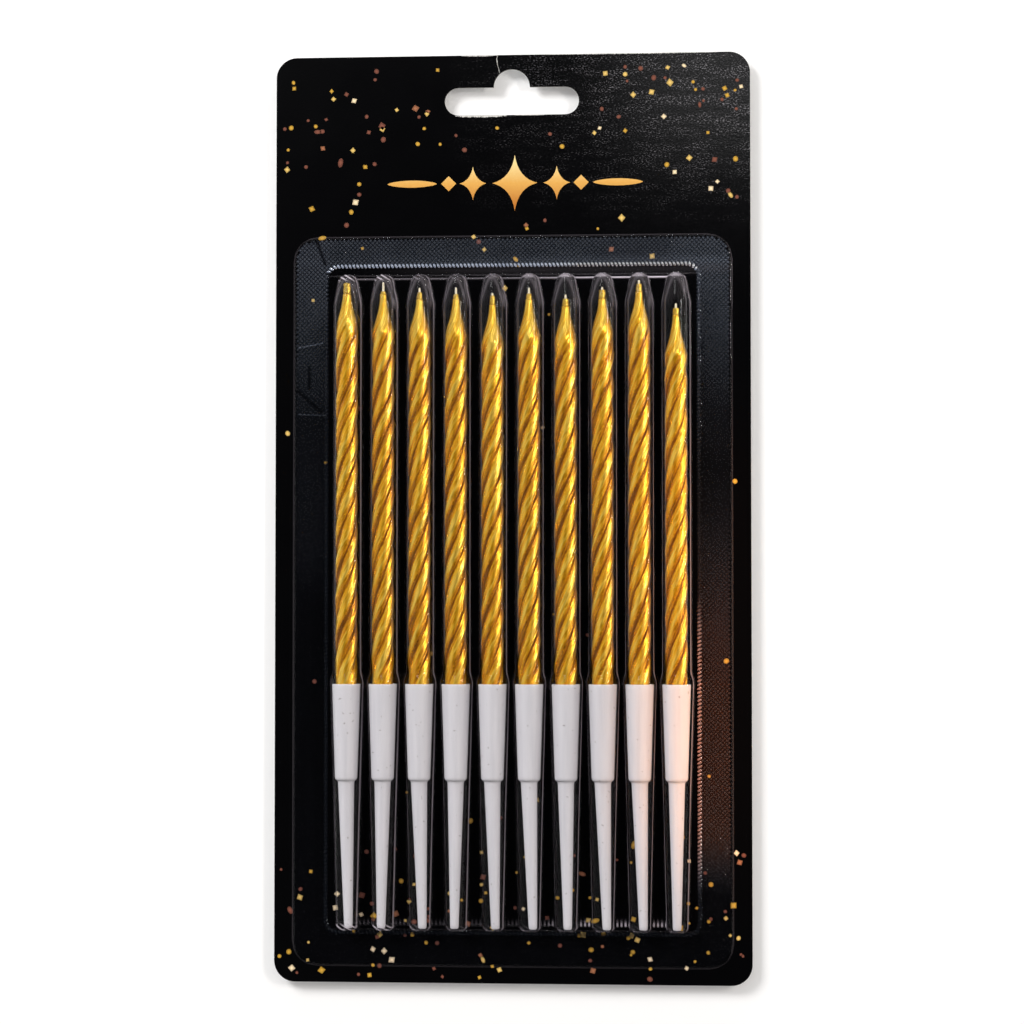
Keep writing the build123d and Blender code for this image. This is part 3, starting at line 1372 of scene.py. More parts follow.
    def worn_strip(self, path: Sequence[Point], across: Point, thick: float, seed: int) -> list[Point]:
        """Ragged outline along a path, where the print has rubbed off.

        Args:
            path: Points along the edge, left to right.
            across: Unit direction from the edge into the print.
            thick: Greatest width of the rubbed strip.
            seed: Seed of its ragged side.

        Returns:
            The outline, anticlockwise.
        """
        draws = np.random.default_rng(seed)
        count = 4 * len(path)
        places = np.linspace(0, len(path) - 1, count)
        xs = np.interp(places, range(len(path)), [p[0] for p in path])
        ys = np.interp(places, range(len(path)), [p[1] for p in path])
        tapered = np.sin(np.pi * np.linspace(0.02, 0.98, count)) ** 0.5
        ragged = thick * draws.uniform(0.15, 1.0, count) * tapered
        inner = [(x + across[0] * w, y + across[1] * w) for x, y, w in zip(xs, ys, ragged)]
        edge = list(zip(xs, ys))
        loop = edge + inner[::-1]
        area = sum(a[0] * b[1] - b[0] * a[1] for a, b in zip(loop, loop[1:] + loop[:1]))
        return loop if area > 0 else loop[::-1]

    def build_wear(self) -> bpy.types.Object:
        """Builds the white rubbed strips at the top edge and the slot, and a short tear between them.

        Returns:
            The wear piece.
        """
        top, slot_low = float(self.high[1]), self.slot_line - self.slot_height / 2
        edges = (
            (-12.2, -3.4, 16, top, 0.30), (7.5, 49.0, 60, top, 0.17),
            (-13.5, -1.2, 24, slot_low, 0.62), (0.5, 8.0, 12, slot_low, 0.16),
        )
        strips = []
        for left, right, count, line, thick in edges:
            path = [(x, line - self.edge_round) for x in np.linspace(left, right, count)]
            strips.append(self.worn_strip(path, (0, -1), thick, self.wear_seed + len(strips)))
        crown = self.slot_line + self.slot_height / 2
        tear = [(-3.4, top - 0.1), (-3.7, top - 1.0), (-3.55, top - 2.0), (-2.9, crown + 3.35)]
        strips.append(self.worn_strip(tear, (1.0, 0.0), 0.2, self.wear_seed + len(strips)))
        face = float(self.high[2])
        points, faces = prisms(strips, face - self.print_height, face + 0.8 * self.print_height)
        finish = PaperCore(name="rubbed_paper").material()
        piece = mesh_piece("worn_edges", points, faces, [finish], smooth=False)
        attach(piece, Body.PACK.value)
        return piece

    def build(self) -> list[bpy.types.Object]:
        """Builds every piece of the card."""
        return [self.build_board(), self.build_flecks(), self.build_ornament(), self.build_wear()]


@dataclass
class Blister:
    """The clear formed film: flange, low web and a vaulted channel over each candle."""

    film: float = 0.25
    lift: float = 0.03
    flange_corner: float = 6.0
    seal_width: float = 8.0
    seal_width_top: float = 7.1
    seal_corner: float = 2.9
    land_top: float = 2.4
    land_bottom: float = 0.8
    web_height: float = 1.2
    web_setback: float = 0.8
    web_setback_top: float = 0.45
    pick_half: float = 2.1
    candle_half: float = 3.0
    cup_end_half: float = 2.961
    rim_half: float = 3.6425
    cup_length: float = 21.8
    rim_headroom: float = 0.9
    flare_length: float = 1.7
    dome_half: float = 1.65
    dome_taper: float = 6.9
    end_round: float = 1.2
    dome_round: float = 1.75
    draft: float = 5.0
    fillet: float = 0.28
    knurl_cell: float = 1.06
    knurl_height: float = 0.15
    knurl_sink: float = 0.01
    knurl_seed: int = 7
    tooth: float = 0.98
    tooth_pitch: float = 0.92
    tooth_shape: tuple = (0.64, 1.2, 0.34)
    tooth_slant: float = 0.5

    def __post_init__(self) -> None:
        """Reads the film's place from the frame."""
        self.low, self.high = millimetres("blister")
        self.axis = PLACES[0].axis[1]
        self.centres = [place.axis[0] for place in PLACES]
        self.pitch = self.centres[1] - self.centres[0]
        self.rim_line = float(PLACES[0].corners("holder")[1][1])
        self.start = float(self.low[1]) + self.seal_width + self.land_bottom
        self.end = float(self.high[1]) - self.seal_width_top - self.land_top
        self.seal_half = float(self.high[0]) - self.seal_width
        self.seal_bottom = float(self.low[1]) + self.seal_width
        self.seal_top = float(self.high[1]) - self.seal_width_top
        self.corner_steps = self.flange_corner * (1 - np.cos(np.radians([0, 30, 60, 90])))
        self.face = float(self.low[2]) + self.lift + self.film
        self.web_face = float(self.low[2]) + self.web_height

    def half_width(self, y: np.ndarray) -> np.ndarray:
        """Half width of a channel's outside at places along it.

        Args:
            y: Places up the card.

        Returns:
            The half width at each.
        """
        flare = self.rim_line + self.rim_headroom
        places = (self.start, self.rim_line - self.cup_length, self.rim_line, flare,
                  flare + self.flare_length, self.end - self.dome_taper, self.end)
        halves = (self.pick_half, self.cup_end_half, self.rim_half, self.rim_half,
                  self.candle_half, self.candle_half, self.dome_half)
        soft = [np.interp(y + shift, places, halves) for shift in np.linspace(-0.45, 0.45, 9)]
        half = np.mean(soft, axis=0) + self.film
        for reach, radius in ((y - self.start, self.end_round), (self.end - y, self.dome_round)):
            inside = np.clip(radius - np.clip(reach, 0, None), 0, None)
            half = half - radius + np.sqrt(radius**2 - inside**2)
        return half

    def rows(self) -> np.ndarray:
        """Places along the pack where the film's grid has a line.

        Returns:
            The places, from the foot up.
        """
        outside = np.array([0.9, 0.6, 0.48, 0.40, 0.33, 0.27, 0.2, 0.1, 0.04])
        inside = 1 - np.cos(np.radians([0, 14, 28, 42, 56, 70, 84]))
        web = np.array([-0.35, -0.2, -0.1, 0.0, 0.1, 0.2, 0.35])
        flare = self.rim_line + self.rim_headroom
        lines = [
            self.low[1] + self.corner_steps,
            self.start - outside, self.start + self.end_round * inside,
            self.start + self.film + self.web_setback + web,
            np.linspace(self.start + 2.2, self.rim_line - 1.4, 24),
            flare + np.linspace(-1.6, self.flare_length + 1.2, 17),
            np.linspace(flare + self.flare_length + 3.0, self.end - self.dome_taper - 1.6, 22),
            np.linspace(self.end - self.dome_taper - 0.6, self.end - 1.9, 10),
            self.end - self.film - self.web_setback_top + web,
            self.end - self.dome_round * inside, self.end + outside,
            self.high[1] - self.corner_steps,
        ]
        rows = np.unique(np.round(np.concatenate(lines), 4))
        return rows[np.concatenate(([True], np.diff(rows) > 0.012))]

    def wall(self, away: np.ndarray, base: np.ndarray) -> np.ndarray:
        """Height of a channel's wall and its foot fillet.

        Args:
            away: Distance outside the channel's outline.
            base: Height of the flat film there.

        Returns:
            The film's height.
        """
        slope = math.tan(math.radians(self.draft))
        foot = (self.axis - base - self.fillet) * slope
        along = np.clip(away - foot, 0, self.fillet)
        curve = base + self.fillet - np.sqrt(self.fillet**2 - (self.fillet - along) ** 2)
        return np.where(away < foot, self.axis - away / slope, curve)

    def web(self, y: np.ndarray) -> np.ndarray:
        """Height of the flat film between channels.

        Args:
            y: Places up the card.

        Returns:
            The height at each.
        """
        below, above = y - self.start - self.web_setback, self.end - y - self.web_setback_top
        step = np.clip((np.minimum(below, above) - self.film) / 0.4 + 0.5, 0, 1)
        return self.face + (self.web_face - self.face) * step * step * (3 - 2 * step)

    def sheet(self) -> tuple[np.ndarray, int, int]:
        """Outer face of the film as a grid of points.

        Returns:
            The points, the number of rows and the number of columns.
        """
        y = self.rows()
        half = self.half_width(y)
        fine = np.concatenate((np.linspace(self.start, self.start + 3, 120),
                               np.linspace(self.start + 3, self.end - 3, 500),
                               np.linspace(self.end - 3, self.end, 120)))
        side = self.half_width(fine)
        cap = np.linspace(-1, 1, 15)
        edge = np.concatenate((
            np.stack((side, fine), 1), np.stack((-side, fine), 1),
            np.stack((cap * side[0], np.full(15, self.start)), 1),
            np.stack((cap * side[-1], np.full(15, self.end)), 1),
        ))
        shares = np.array([0.9, 0.72, 0.56, 0.46, 0.38, 0.3, 0.22, 0.14, 0.07])
        vault = np.cos(np.radians(np.arange(0, 181, 12)))
        columns: list[tuple[np.ndarray, np.ndarray]] = []
        flat = np.full_like(y, self.face)
        land = np.append(self.high[0] - self.corner_steps, self.seal_half)
        columns += [(np.full_like(y, -x), flat) for x in land]
        for number, centre in enumerate(self.centres):
            between = np.minimum(1.0, self.pitch / 2 - half)
            first, last = number == 0, number == len(self.centres) - 1
            offsets = [-(half + share * (1.0 if first else between)) for share in shares]
            offsets += [-half * turn for turn in vault]
            offsets += [half + share * (1.0 if last else between) for share in shares[::-1]]
            for dx in offsets:
                away = np.min(np.hypot(dx[:, None] - edge[:, 0], y[:, None] - edge[:, 1]), axis=1)
                inside = (np.abs(dx) <= half + 1e-9) & (y >= self.start) & (y <= self.end)
                bare = (first and dx[0] < 0) or (last and dx[0] > 0)
                base = flat if bare else self.web(y)
                vaulted = self.axis + np.sqrt(np.clip(half**2 - dx**2, 0, None))
                columns.append((centre + dx, np.where(inside, vaulted, self.wall(away, base))))
            if not last:
                columns.append((np.full_like(y, centre + self.pitch / 2), self.web(y)))
        columns += [(np.full_like(y, x), flat) for x in land[::-1]]
        x = np.stack([column[0] for column in columns], 1)
        z = np.stack([column[1] for column in columns], 1)
        grid = np.stack((x, np.repeat(y[:, None], x.shape[1], 1), z), 2)
        return self.rounded(grid).reshape(-1, 3), len(y), x.shape[1]

    def rounded(self, grid: np.ndarray) -> np.ndarray:
        """Draws the flange's square corners in to round ones.

        Args:
            grid: The film's points, row by row.

        Returns:
            The same points with round corners.
        """
        corner = self.flange_corner
        middle = (self.low + self.high) / 2
        reach = (self.high - self.low) / 2 - corner
        away = grid[..., :2] - middle[:2]
        u = np.clip((np.abs(away[..., 0]) - reach[0]) / corner, 0, 1)
        v = np.clip((np.abs(away[..., 1]) - reach[1]) / corner, 0, 1)
        both = (u > 0) & (v > 0)
        x = reach[0] + corner * u * np.sqrt(1 - v * v / 2)
        y = reach[1] + corner * v * np.sqrt(1 - u * u / 2)
        grid[..., 0] = np.where(both, middle[0] + np.sign(away[..., 0]) * x, grid[..., 0])
        grid[..., 1] = np.where(both, middle[1] + np.sign(away[..., 1]) * y, grid[..., 1])
        return grid

    def build_film(self, finish: bpy.types.Material) -> bpy.types.Object:
        """Builds the film with its real thickness.

        Args:
            finish: The clear film's material.

        Returns:
            The film piece.
        """
        points, rows, columns = self.sheet()
        host = mesh_piece("film_face", points, grid_faces(rows, columns, False), [finish])
        solid = host.modifiers.new("thickness", "SOLIDIFY")
        solid.thickness, solid.offset, solid.use_rim = self.film * MM, -1.0, True
        piece = plain_copy(host, "blister_film")
        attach(piece, Body.PACK.value)
        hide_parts("blister")
        return piece

    def knurl_tree(self) -> RuleTree:
        """Draws up the rule for the seal's pressed diamond pattern.

        Returns:
            The pattern rule.
        """
        tree = RuleTree("seal_knurl")
        half_x, half_y = tree.size("Flange Half Width"), tree.size("Flange Half Height")
        inner_x = tree.size("Inner Half Width")
        inner_low, inner_high = tree.size("Inner Bottom"), tree.size("Inner Top")
        corner, cell, tall = tree.size("Corner Radius"), tree.size("Cell"), tree.size("Height")
        inner_corner = tree.size("Inner Corner Radius")
        centre_y, face = tree.size("Centre Y"), tree.size("Face Z")
        seed = tree.size("Seed", "Int")
        across, along = tree.size("Cells Across", "Int"), tree.size("Cells Along", "Int")
        grid = tree.field("GeometryNodeMeshGrid", {
            "Size X": half_x * 2.0, "Size Y": half_y * 2.0, "Vertices X": across, "Vertices Y": along,
        })
        points = tree.field("GeometryNodeMeshToPoints", {"Mesh": grid})
        x, y, _ = tree.split(tree.field("GeometryNodeInputPosition"))
        index = tree.field("GeometryNodeInputIndex")
        row = (index.run("MODULO", along) * 0.5).run("FRACT") * 2.0
        x = x + row.run("ROUND") * cell * 0.5
        moved = tree.field("GeometryNodeSetPosition", {
            "Geometry": points, "Position": tree.combine(x, y + centre_y, face),
        })
        x, y, _ = tree.split(tree.field("GeometryNodeInputPosition"))
        out_x = (x.run("ABSOLUTE") - (half_x - corner)).run("MAXIMUM", 0.0)
        out_y = ((y - centre_y).run("ABSOLUTE") - (half_y - corner)).run("MAXIMUM", 0.0)
        outside = (out_x * out_x + out_y * out_y).run("SQRT").run("GREATER_THAN", corner - cell * 0.55)
        in_x = (x.run("ABSOLUTE") - (inner_x - inner_corner)).run("MAXIMUM", 0.0)
        middle, reach = (inner_high + inner_low) * 0.5, (inner_high - inner_low) * 0.5
        in_y = ((y - middle).run("ABSOLUTE") - (reach - inner_corner)).run("MAXIMUM", 0.0)
        inside = (in_x * in_x + in_y * in_y).run("SQRT").run("LESS_THAN", inner_corner)
        unwanted = (outside + inside).run("GREATER_THAN", 0.5)
        band = tree.field("GeometryNodeDeleteGeometry", {"Geometry": moved, "Selection": unwanted})
        stud = tree.field("GeometryNodeMeshCone", {
            "Vertices": 4, "Radius Top": 0.06, "Radius Bottom": 0.5, "Depth": 1.0,
        })
        rise = tall * tree.chance(0.9, 1.1, seed)
        studs = tree.field("GeometryNodeInstanceOnPoints", {
            "Points": band, "Instance": stud, "Scale": tree.combine(cell, cell, rise),
        })
        tree.close(studs)
        return tree

    def build_knurl(self, finish: bpy.types.Material) -> bpy.types.Object:
        """Builds the pressed pattern round the sealed flange.

        Args:
            finish: The pressed film's material.

        Returns:
            The pattern piece.
        """
        size = self.high - self.low
        cell = self.knurl_cell
        values = {
            "Flange Half Width": size[0] / 2, "Flange Half Height": size[1] / 2,
            "Inner Half Width": self.seal_half, "Inner Bottom": self.seal_bottom, "Inner Top": self.seal_top,
            "Corner Radius": self.flange_corner, "Inner Corner Radius": self.seal_corner,
            "Cell": cell, "Height": self.knurl_height,
            "Centre Y": (self.low[1] + self.high[1]) / 2, "Face Z": self.face - self.knurl_sink,
        }
        values = {key: float(value) * MM for key, value in values.items()}
        values |= {
            "Seed": self.knurl_seed, "Finish": finish,
            "Cells Across": round(size[0] / cell) + 1, "Cells Along": round(size[1] / (cell / 2)) + 1,
        }
        piece = self.knurl_tree().grow("seal_knurl", values)
        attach(piece, Body.PACK.value)
        return piece

    def bead_tree(self) -> RuleTree:
        """Draws up the rule for the row of slanted teeth along the seal's inner edge.

        Returns:
            The teeth rule.
        """
        tree = RuleTree("seal_bead")
        width, height = tree.size("Width"), tree.size("Height")
        centre_y, face = tree.size("Centre Y"), tree.size("Face Z")
        pitch, tooth, corner = tree.size("Pitch"), tree.size("Tooth"), tree.size("Corner Radius")
        loop = tree.field("GeometryNodeCurvePrimitiveQuadrilateral", {"Width": width, "Height": height})
        rounded = {"Curve": loop, "Radius": corner, "Count": 8}
        loop = tree.field("GeometryNodeFilletCurve", rounded, mode="POLY")
        path = tree.field("GeometryNodeResampleCurve", {"Curve": loop, "Length": pitch}, mode="LENGTH")
        shift = tree.combine(0.0, centre_y, face)
        path = tree.field("GeometryNodeSetPosition", {"Geometry": path, "Offset": shift})
        tangent = tree.field("GeometryNodeInputTangent")
        turn = tree.field("FunctionNodeAlignRotationToVector", {"Vector": tangent}, axis="X")
        ball = tree.field("GeometryNodeMeshUVSphere", {"Segments": 8, "Rings": 4, "Radius": 0.5})
        slant = tree.field("GeometryNodeTransform", {"Geometry": ball, "Scale": self.tooth_shape})
        turned = {"Geometry": slant, "Rotation": (0.0, 0.0, self.tooth_slant)}
        slant = tree.field("GeometryNodeTransform", turned)
        teeth = tree.field("GeometryNodeInstanceOnPoints", {
            "Points": path, "Instance": slant, "Rotation": turn, "Scale": tree.combine(tooth, tooth, tooth),
        })
        tree.close(teeth)
        return tree

    def build_bead(self, finish: bpy.types.Material) -> bpy.types.Object:
        """Builds the row of teeth where the seal's pattern ends.

        Args:
            finish: The pressed film's material.

        Returns:
            The bead piece.
        """
        values = {
            "Width": 2 * self.seal_half, "Height": self.seal_top - self.seal_bottom,
            "Centre Y": (self.seal_top + self.seal_bottom) / 2, "Face Z": self.face,
            "Pitch": self.tooth_pitch, "Tooth": self.tooth, "Corner Radius": self.seal_corner,
        }
        values = {key: value * MM for key, value in values.items()} | {"Finish": finish}
        piece = self.bead_tree().grow("seal_bead", values)
        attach(piece, Body.PACK.value)
        return piece

    def build(self) -> list[bpy.types.Object]:
        """Builds every piece of the film.

        Returns:
            The film, the seal's pattern and its row of teeth.
        """
        knurl = PressedFilm().material()
        bead = PressedFilm(
            name="pressed_bead", share=0.4, gloss_share=0.45, top_range=(0.0580, 0.0592),
            right_fade=(-0.034, -0.018), right_reflection_amount=0.8, right_highlight_boost=2.6, least=0.02, stud_share=0.0,
            edge_highlight=0.0, creased=False,
        ).material()
        return [self.build_film(ClearFilm().material()), self.build_knurl(knurl), self.build_bead(bead)]


@dataclass
class SpiralCandles:
    """The ten gold candles: twisted wax bodies with drawn tips, and the wick down each."""

    radius: float = 2.7
    lobes: int = 4
    lead: float = 31.3
    groove_depth: float = 0.56
    groove_sharpness: float = 1.3
    second_groove: float = 0.06
    second_places: tuple = ((0.63, 0.075, 1.0), (0.33, 0.05, 0.45))
    wander: float = 0.7
    wander_rate: float = 55.0
    swell_rate: float = 60.0
    lump: float = 0.10
    lump_rate: float = 160.0
    streak: float = 0.16
    streak_rate: float = 25.0
    shrink: float = 0.05
    least_wall: float = 0.08
    merge_gap: float = 0.0005
    foot_radius: float = 2.2
    foot_length: float = 16.0
    tip_length: float = 9.4
    bore_radius: float = 0.71
    turn: float = 67.0
    seed_step: float = 3.7
    around: int = 84
    along: int = 340
    wick_around: int = 18
    wick_rows: int = 126
    end_rows: int = 12
    wick_seed: int = 100
    wick_radius: float = 0.6
    wick_lead: float = 5.0
    tip_radii: tuple = (1.02, 0.78, 0.84, 0.82, 0.80, 0.84, 0.96, 0.92, 0.84, 0.78)
    tip_shapes: tuple = (1.05, 0.62, 0.9, 0.8, 0.66, 0.75, 1.0, 0.95, 0.85, 0.6)
    collars: tuple = (2.7, 0.6, 1.7, 1.2, 2.2, 1.4, 1.8, 2.1, 1.9, 1.65)
    collar_radii: tuple = (0.96, 0.60, 0.60, 0.60, 0.60, 0.62, 0.72, 0.86, 0.68, 0.77)
    bare_radius: float = 0.29

    def candle_tree(self) -> RuleTree:
        """Draws up the rule of a twisted, lobed candle with a bore for its wick.

        Returns:
            The candle rule.
        """
        tree = RuleTree("spiral_candle")
        length, radius = tree.size("Length"), tree.size("Ridge Radius")
        lobes, lead = tree.size("Lobes"), tree.size("Twist Lead")
        deep, second = tree.size("Groove Depth"), tree.size("Second Groove")
        foot_radius, foot_length = tree.size("Foot Radius"), tree.size("Foot Length")
        tip_radius, tip_length = tree.size("Tip Radius"), tree.size("Tip Length")
        tip_shape, bore = tree.size("Tip Shape"), tree.size("Bore Radius")
        turn, seed = tree.size("Turn"), tree.size("Seed")
        axis_x, foot_y, axis_z = tree.size("Axis X"), tree.size("Foot Y"), tree.size("Axis Z")
        around, along = tree.size("Around", "Int"), tree.size("Along", "Int")
        grid = tree.field("GeometryNodeMeshGrid", {
            "Size X": 1.0, "Size Y": 1.0, "Vertices X": around, "Vertices Y": along,
        })
        u, v, _ = tree.split(tree.field("GeometryNodeInputPosition"))
        u, v = u + 0.5, v + 0.5

        # Along the wax: the foot's end face, the side, the tip's end face, then back down the bore
        outside, end_face = 0.9, 0.01
        side, bored = (v / outside).clamped(), ((v - outside) / (1.0 - outside)).clamped()
        foot_face, tip_face = (side / end_face).clamped(), ((side - 1.0 + end_face) / end_face).clamped()
        y = ((side - end_face) / (1.0 - 2.0 * end_face)).clamped() * length

        # Round the wax: a sharp groove between lobes and a shallow one on each lobe
        wander = tree.noise(tree.combine(seed, 7.0, y * self.wander_rate), 1.0, 1.0)
        lobe = (u * lobes + (wander - 0.5) * self.wander).run("FRACT")
        ridge = (lobe * math.pi).run("SINE")
        main = (1.0 - ridge) ** self.groove_sharpness
        shallow = sum(lobe.hump(centre, width) * share for centre, width, share in self.second_places)
        rim_fade = y.eased(foot_length * 0.35, foot_length * 1.15)
        tip_place = ((y - (length - tip_length)) / tip_length).clamped()
        drawn_out = ((y - (length - tip_length * 1.45)) / tip_length).clamped()
        fade = rim_fade * (1.0 - drawn_out.eased(0.0, 0.85))

        # Small unevenness that follows the twist
        ring_x, ring_y = (u * math.tau).run("COSINE"), (u * math.tau).run("SINE")
        lumps = tree.noise(tree.combine(ring_x, ring_y, y * self.lump_rate + seed), 1.1, 2.0)
        twist = tree.combine(ring_x, ring_y, y * self.streak_rate + seed * 3.0)
        streak = tree.noise(twist, 4.2, 2.0, 0.55)
        swell = tree.noise(tree.combine(seed, 0.0, y * self.swell_rate), 1.0, 1.0)

        taper = foot_radius + (radius - foot_radius) * (y / foot_length).clamped()
        point = tip_place.eased(0.0, 1.0) ** tip_shape
        body = taper + (tip_radius - radius) * point
        grooves = (main * deep * (0.55 + 0.8 * swell) + shallow * second * (0.4 + swell)) * fade
        uneven = (lumps - 0.5) * self.lump - (streak - 0.5) * self.streak - self.shrink
        uneven = uneven * MM * rim_fade
        outer = body - grooves + uneven * (1.0 - tip_place * 0.6)
        r = bore + (outer - bore).run("MAXIMUM", self.least_wall * MM) * foot_face * (1.0 - tip_face)
        back = (length / lead).run("FRACT")
        angle = (u + y / lead - bored * back) * math.tau + turn
        placed = tree.combine(
            axis_x + r * angle.run("SINE"), foot_y + y - bored * length, axis_z + r * angle.run("COSINE"),
        )
        # Painted shade kept for the coat: darkest in the grooves and on each lobe's lower side, where the
        # light from above falls away.
        lee_shade = lobe.eased(0.50, 0.97)
        shaded = ((1.0 - ridge) ** 0.8 * 0.5 + lee_shade * 0.6 + shallow * 0.12) * fade
        wax = tree.keep(grid, "groove", shaded)
        wax = tree.keep(wax, "twist", twist, kind="FLOAT_VECTOR")
        wax = tree.field("GeometryNodeSetPosition", {"Geometry": wax, "Position": placed})
        wax = tree.field("GeometryNodeMergeByDistance", {"Geometry": wax, "Distance": self.merge_gap * MM})
        wax = tree.field("GeometryNodeSetShadeSmooth", {"Geometry": wax})
        tree.close(wax)
        return tree

    def build_candle(
        self, tree: RuleTree, place: CandlePlace, finish: bpy.types.Material,
    ) -> bpy.types.Object:
        """Builds one candle's wax.

        Args:
            tree: The candle rule.
            place: Which candle.
            finish: The gold coat.

        Returns:
            The wax piece.
        """
        low, high = place.corners("candle")
        x, z = place.axis
        number = place.number
        sizes = {
            "Length": high[1] - low[1], "Ridge Radius": self.radius, "Twist Lead": self.lead,
            "Groove Depth": self.groove_depth, "Second Groove": self.second_groove,
            "Foot Radius": self.foot_radius, "Foot Length": self.foot_length,
            "Tip Radius": self.tip_radii[number], "Tip Length": self.tip_length,
            "Bore Radius": self.bore_radius, "Axis X": x, "Foot Y": low[1], "Axis Z": z,
        }
        values: dict[str, Any] = {key: float(value) * MM for key, value in sizes.items()}
        values |= {
            "Lobes": float(self.lobes), "Tip Shape": self.tip_shapes[number],
            "Turn": math.radians(self.turn * number), "Seed": self.seed_step * number,
            "Around": self.around + 1, "Along": self.along, "Finish": finish,
        }
        piece = tree.grow(f"candle_wax_{place.label}", values)
        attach(piece, f"candle_{place.label}")
        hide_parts(f"candle_{place.label}")
        return piece

    def build_wick(self, place: CandlePlace, finish: bpy.types.Material) -> bpy.types.Object:
        """Builds one wick of three twisted strands with a collar of wax and a thin bare end.

        Args:
            place: Which candle.
            finish: The wick's material.

        Returns:
            The wick piece.
        """
        low, high = place.corners("wick")
        x, z = place.axis
        number, around = place.number, self.wick_around
        draws = np.random.default_rng(self.wick_seed + number)
        wax_end = float(place.corners("candle")[1][1])
        bare = wax_end + self.collars[number]
        y = np.concatenate((
            np.linspace(low[1], wax_end - 0.02, self.wick_rows), np.linspace(wax_end, bare, self.end_rows),
            np.linspace(bare + 0.03, high[1], self.end_rows),
        ))
        angle = np.linspace(0, math.tau, around, endpoint=False)
        turn = math.tau * (y - low[1]) / self.wick_lead
        stops = (wax_end - 0.02, wax_end, bare - 0.05, bare, bare + 0.03, high[1])
        collar = self.collar_radii[number]
        stub = (self.wick_radius, self.tip_radii[number] - 0.03, collar, collar - 0.06,
                self.bare_radius, self.bare_radius * 0.85)
        reach = np.interp(y, stops, stub)[:, None]
        strand = reach * (0.88 + 0.12 * np.abs(np.cos(1.5 * angle)))[None, :]
        end = np.clip((high[1] - y) / 0.5, 0, 1)[:, None]
        r = strand * (0.55 + 0.45 * np.sqrt(np.clip(end * (2 - end), 0, 1)))
        r = r * (1 + draws.uniform(-0.08, 0.03, r.shape))
        phase = angle[None, :] + turn[:, None]
        points = np.stack((x + r * np.sin(phase), np.repeat(y[:, None], around, 1), z + r * np.cos(phase)), 2)
        points = np.concatenate((points.reshape(-1, 3), [(x, low[1], z), (x, high[1], z)]))
        piece = mesh_piece(f"wick_strand_{place.label}", points, tube_faces(len(y), around), [finish])
        shown = piece.data.attributes.new("bare", "FLOAT", "POINT")
        shown.data.foreach_set("value", (points[:, 1] > bare + 0.01).astype(float))
        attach(piece, f"candle_{place.label}")
        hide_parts(f"wick_{place.label}")
        return piece

    def build(self) -> list[bpy.types.Object]:
        """Builds every candle and wick.

        Returns:
            The candles, then the wicks.
        """
        tree = self.candle_tree()
        coat, dip = GoldWax().material(), GoldWick().material()
        pieces = [self.build_candle(tree, place, coat) for place in PLACES]
        return pieces + [self.build_wick(place, dip) for place in PLACES]


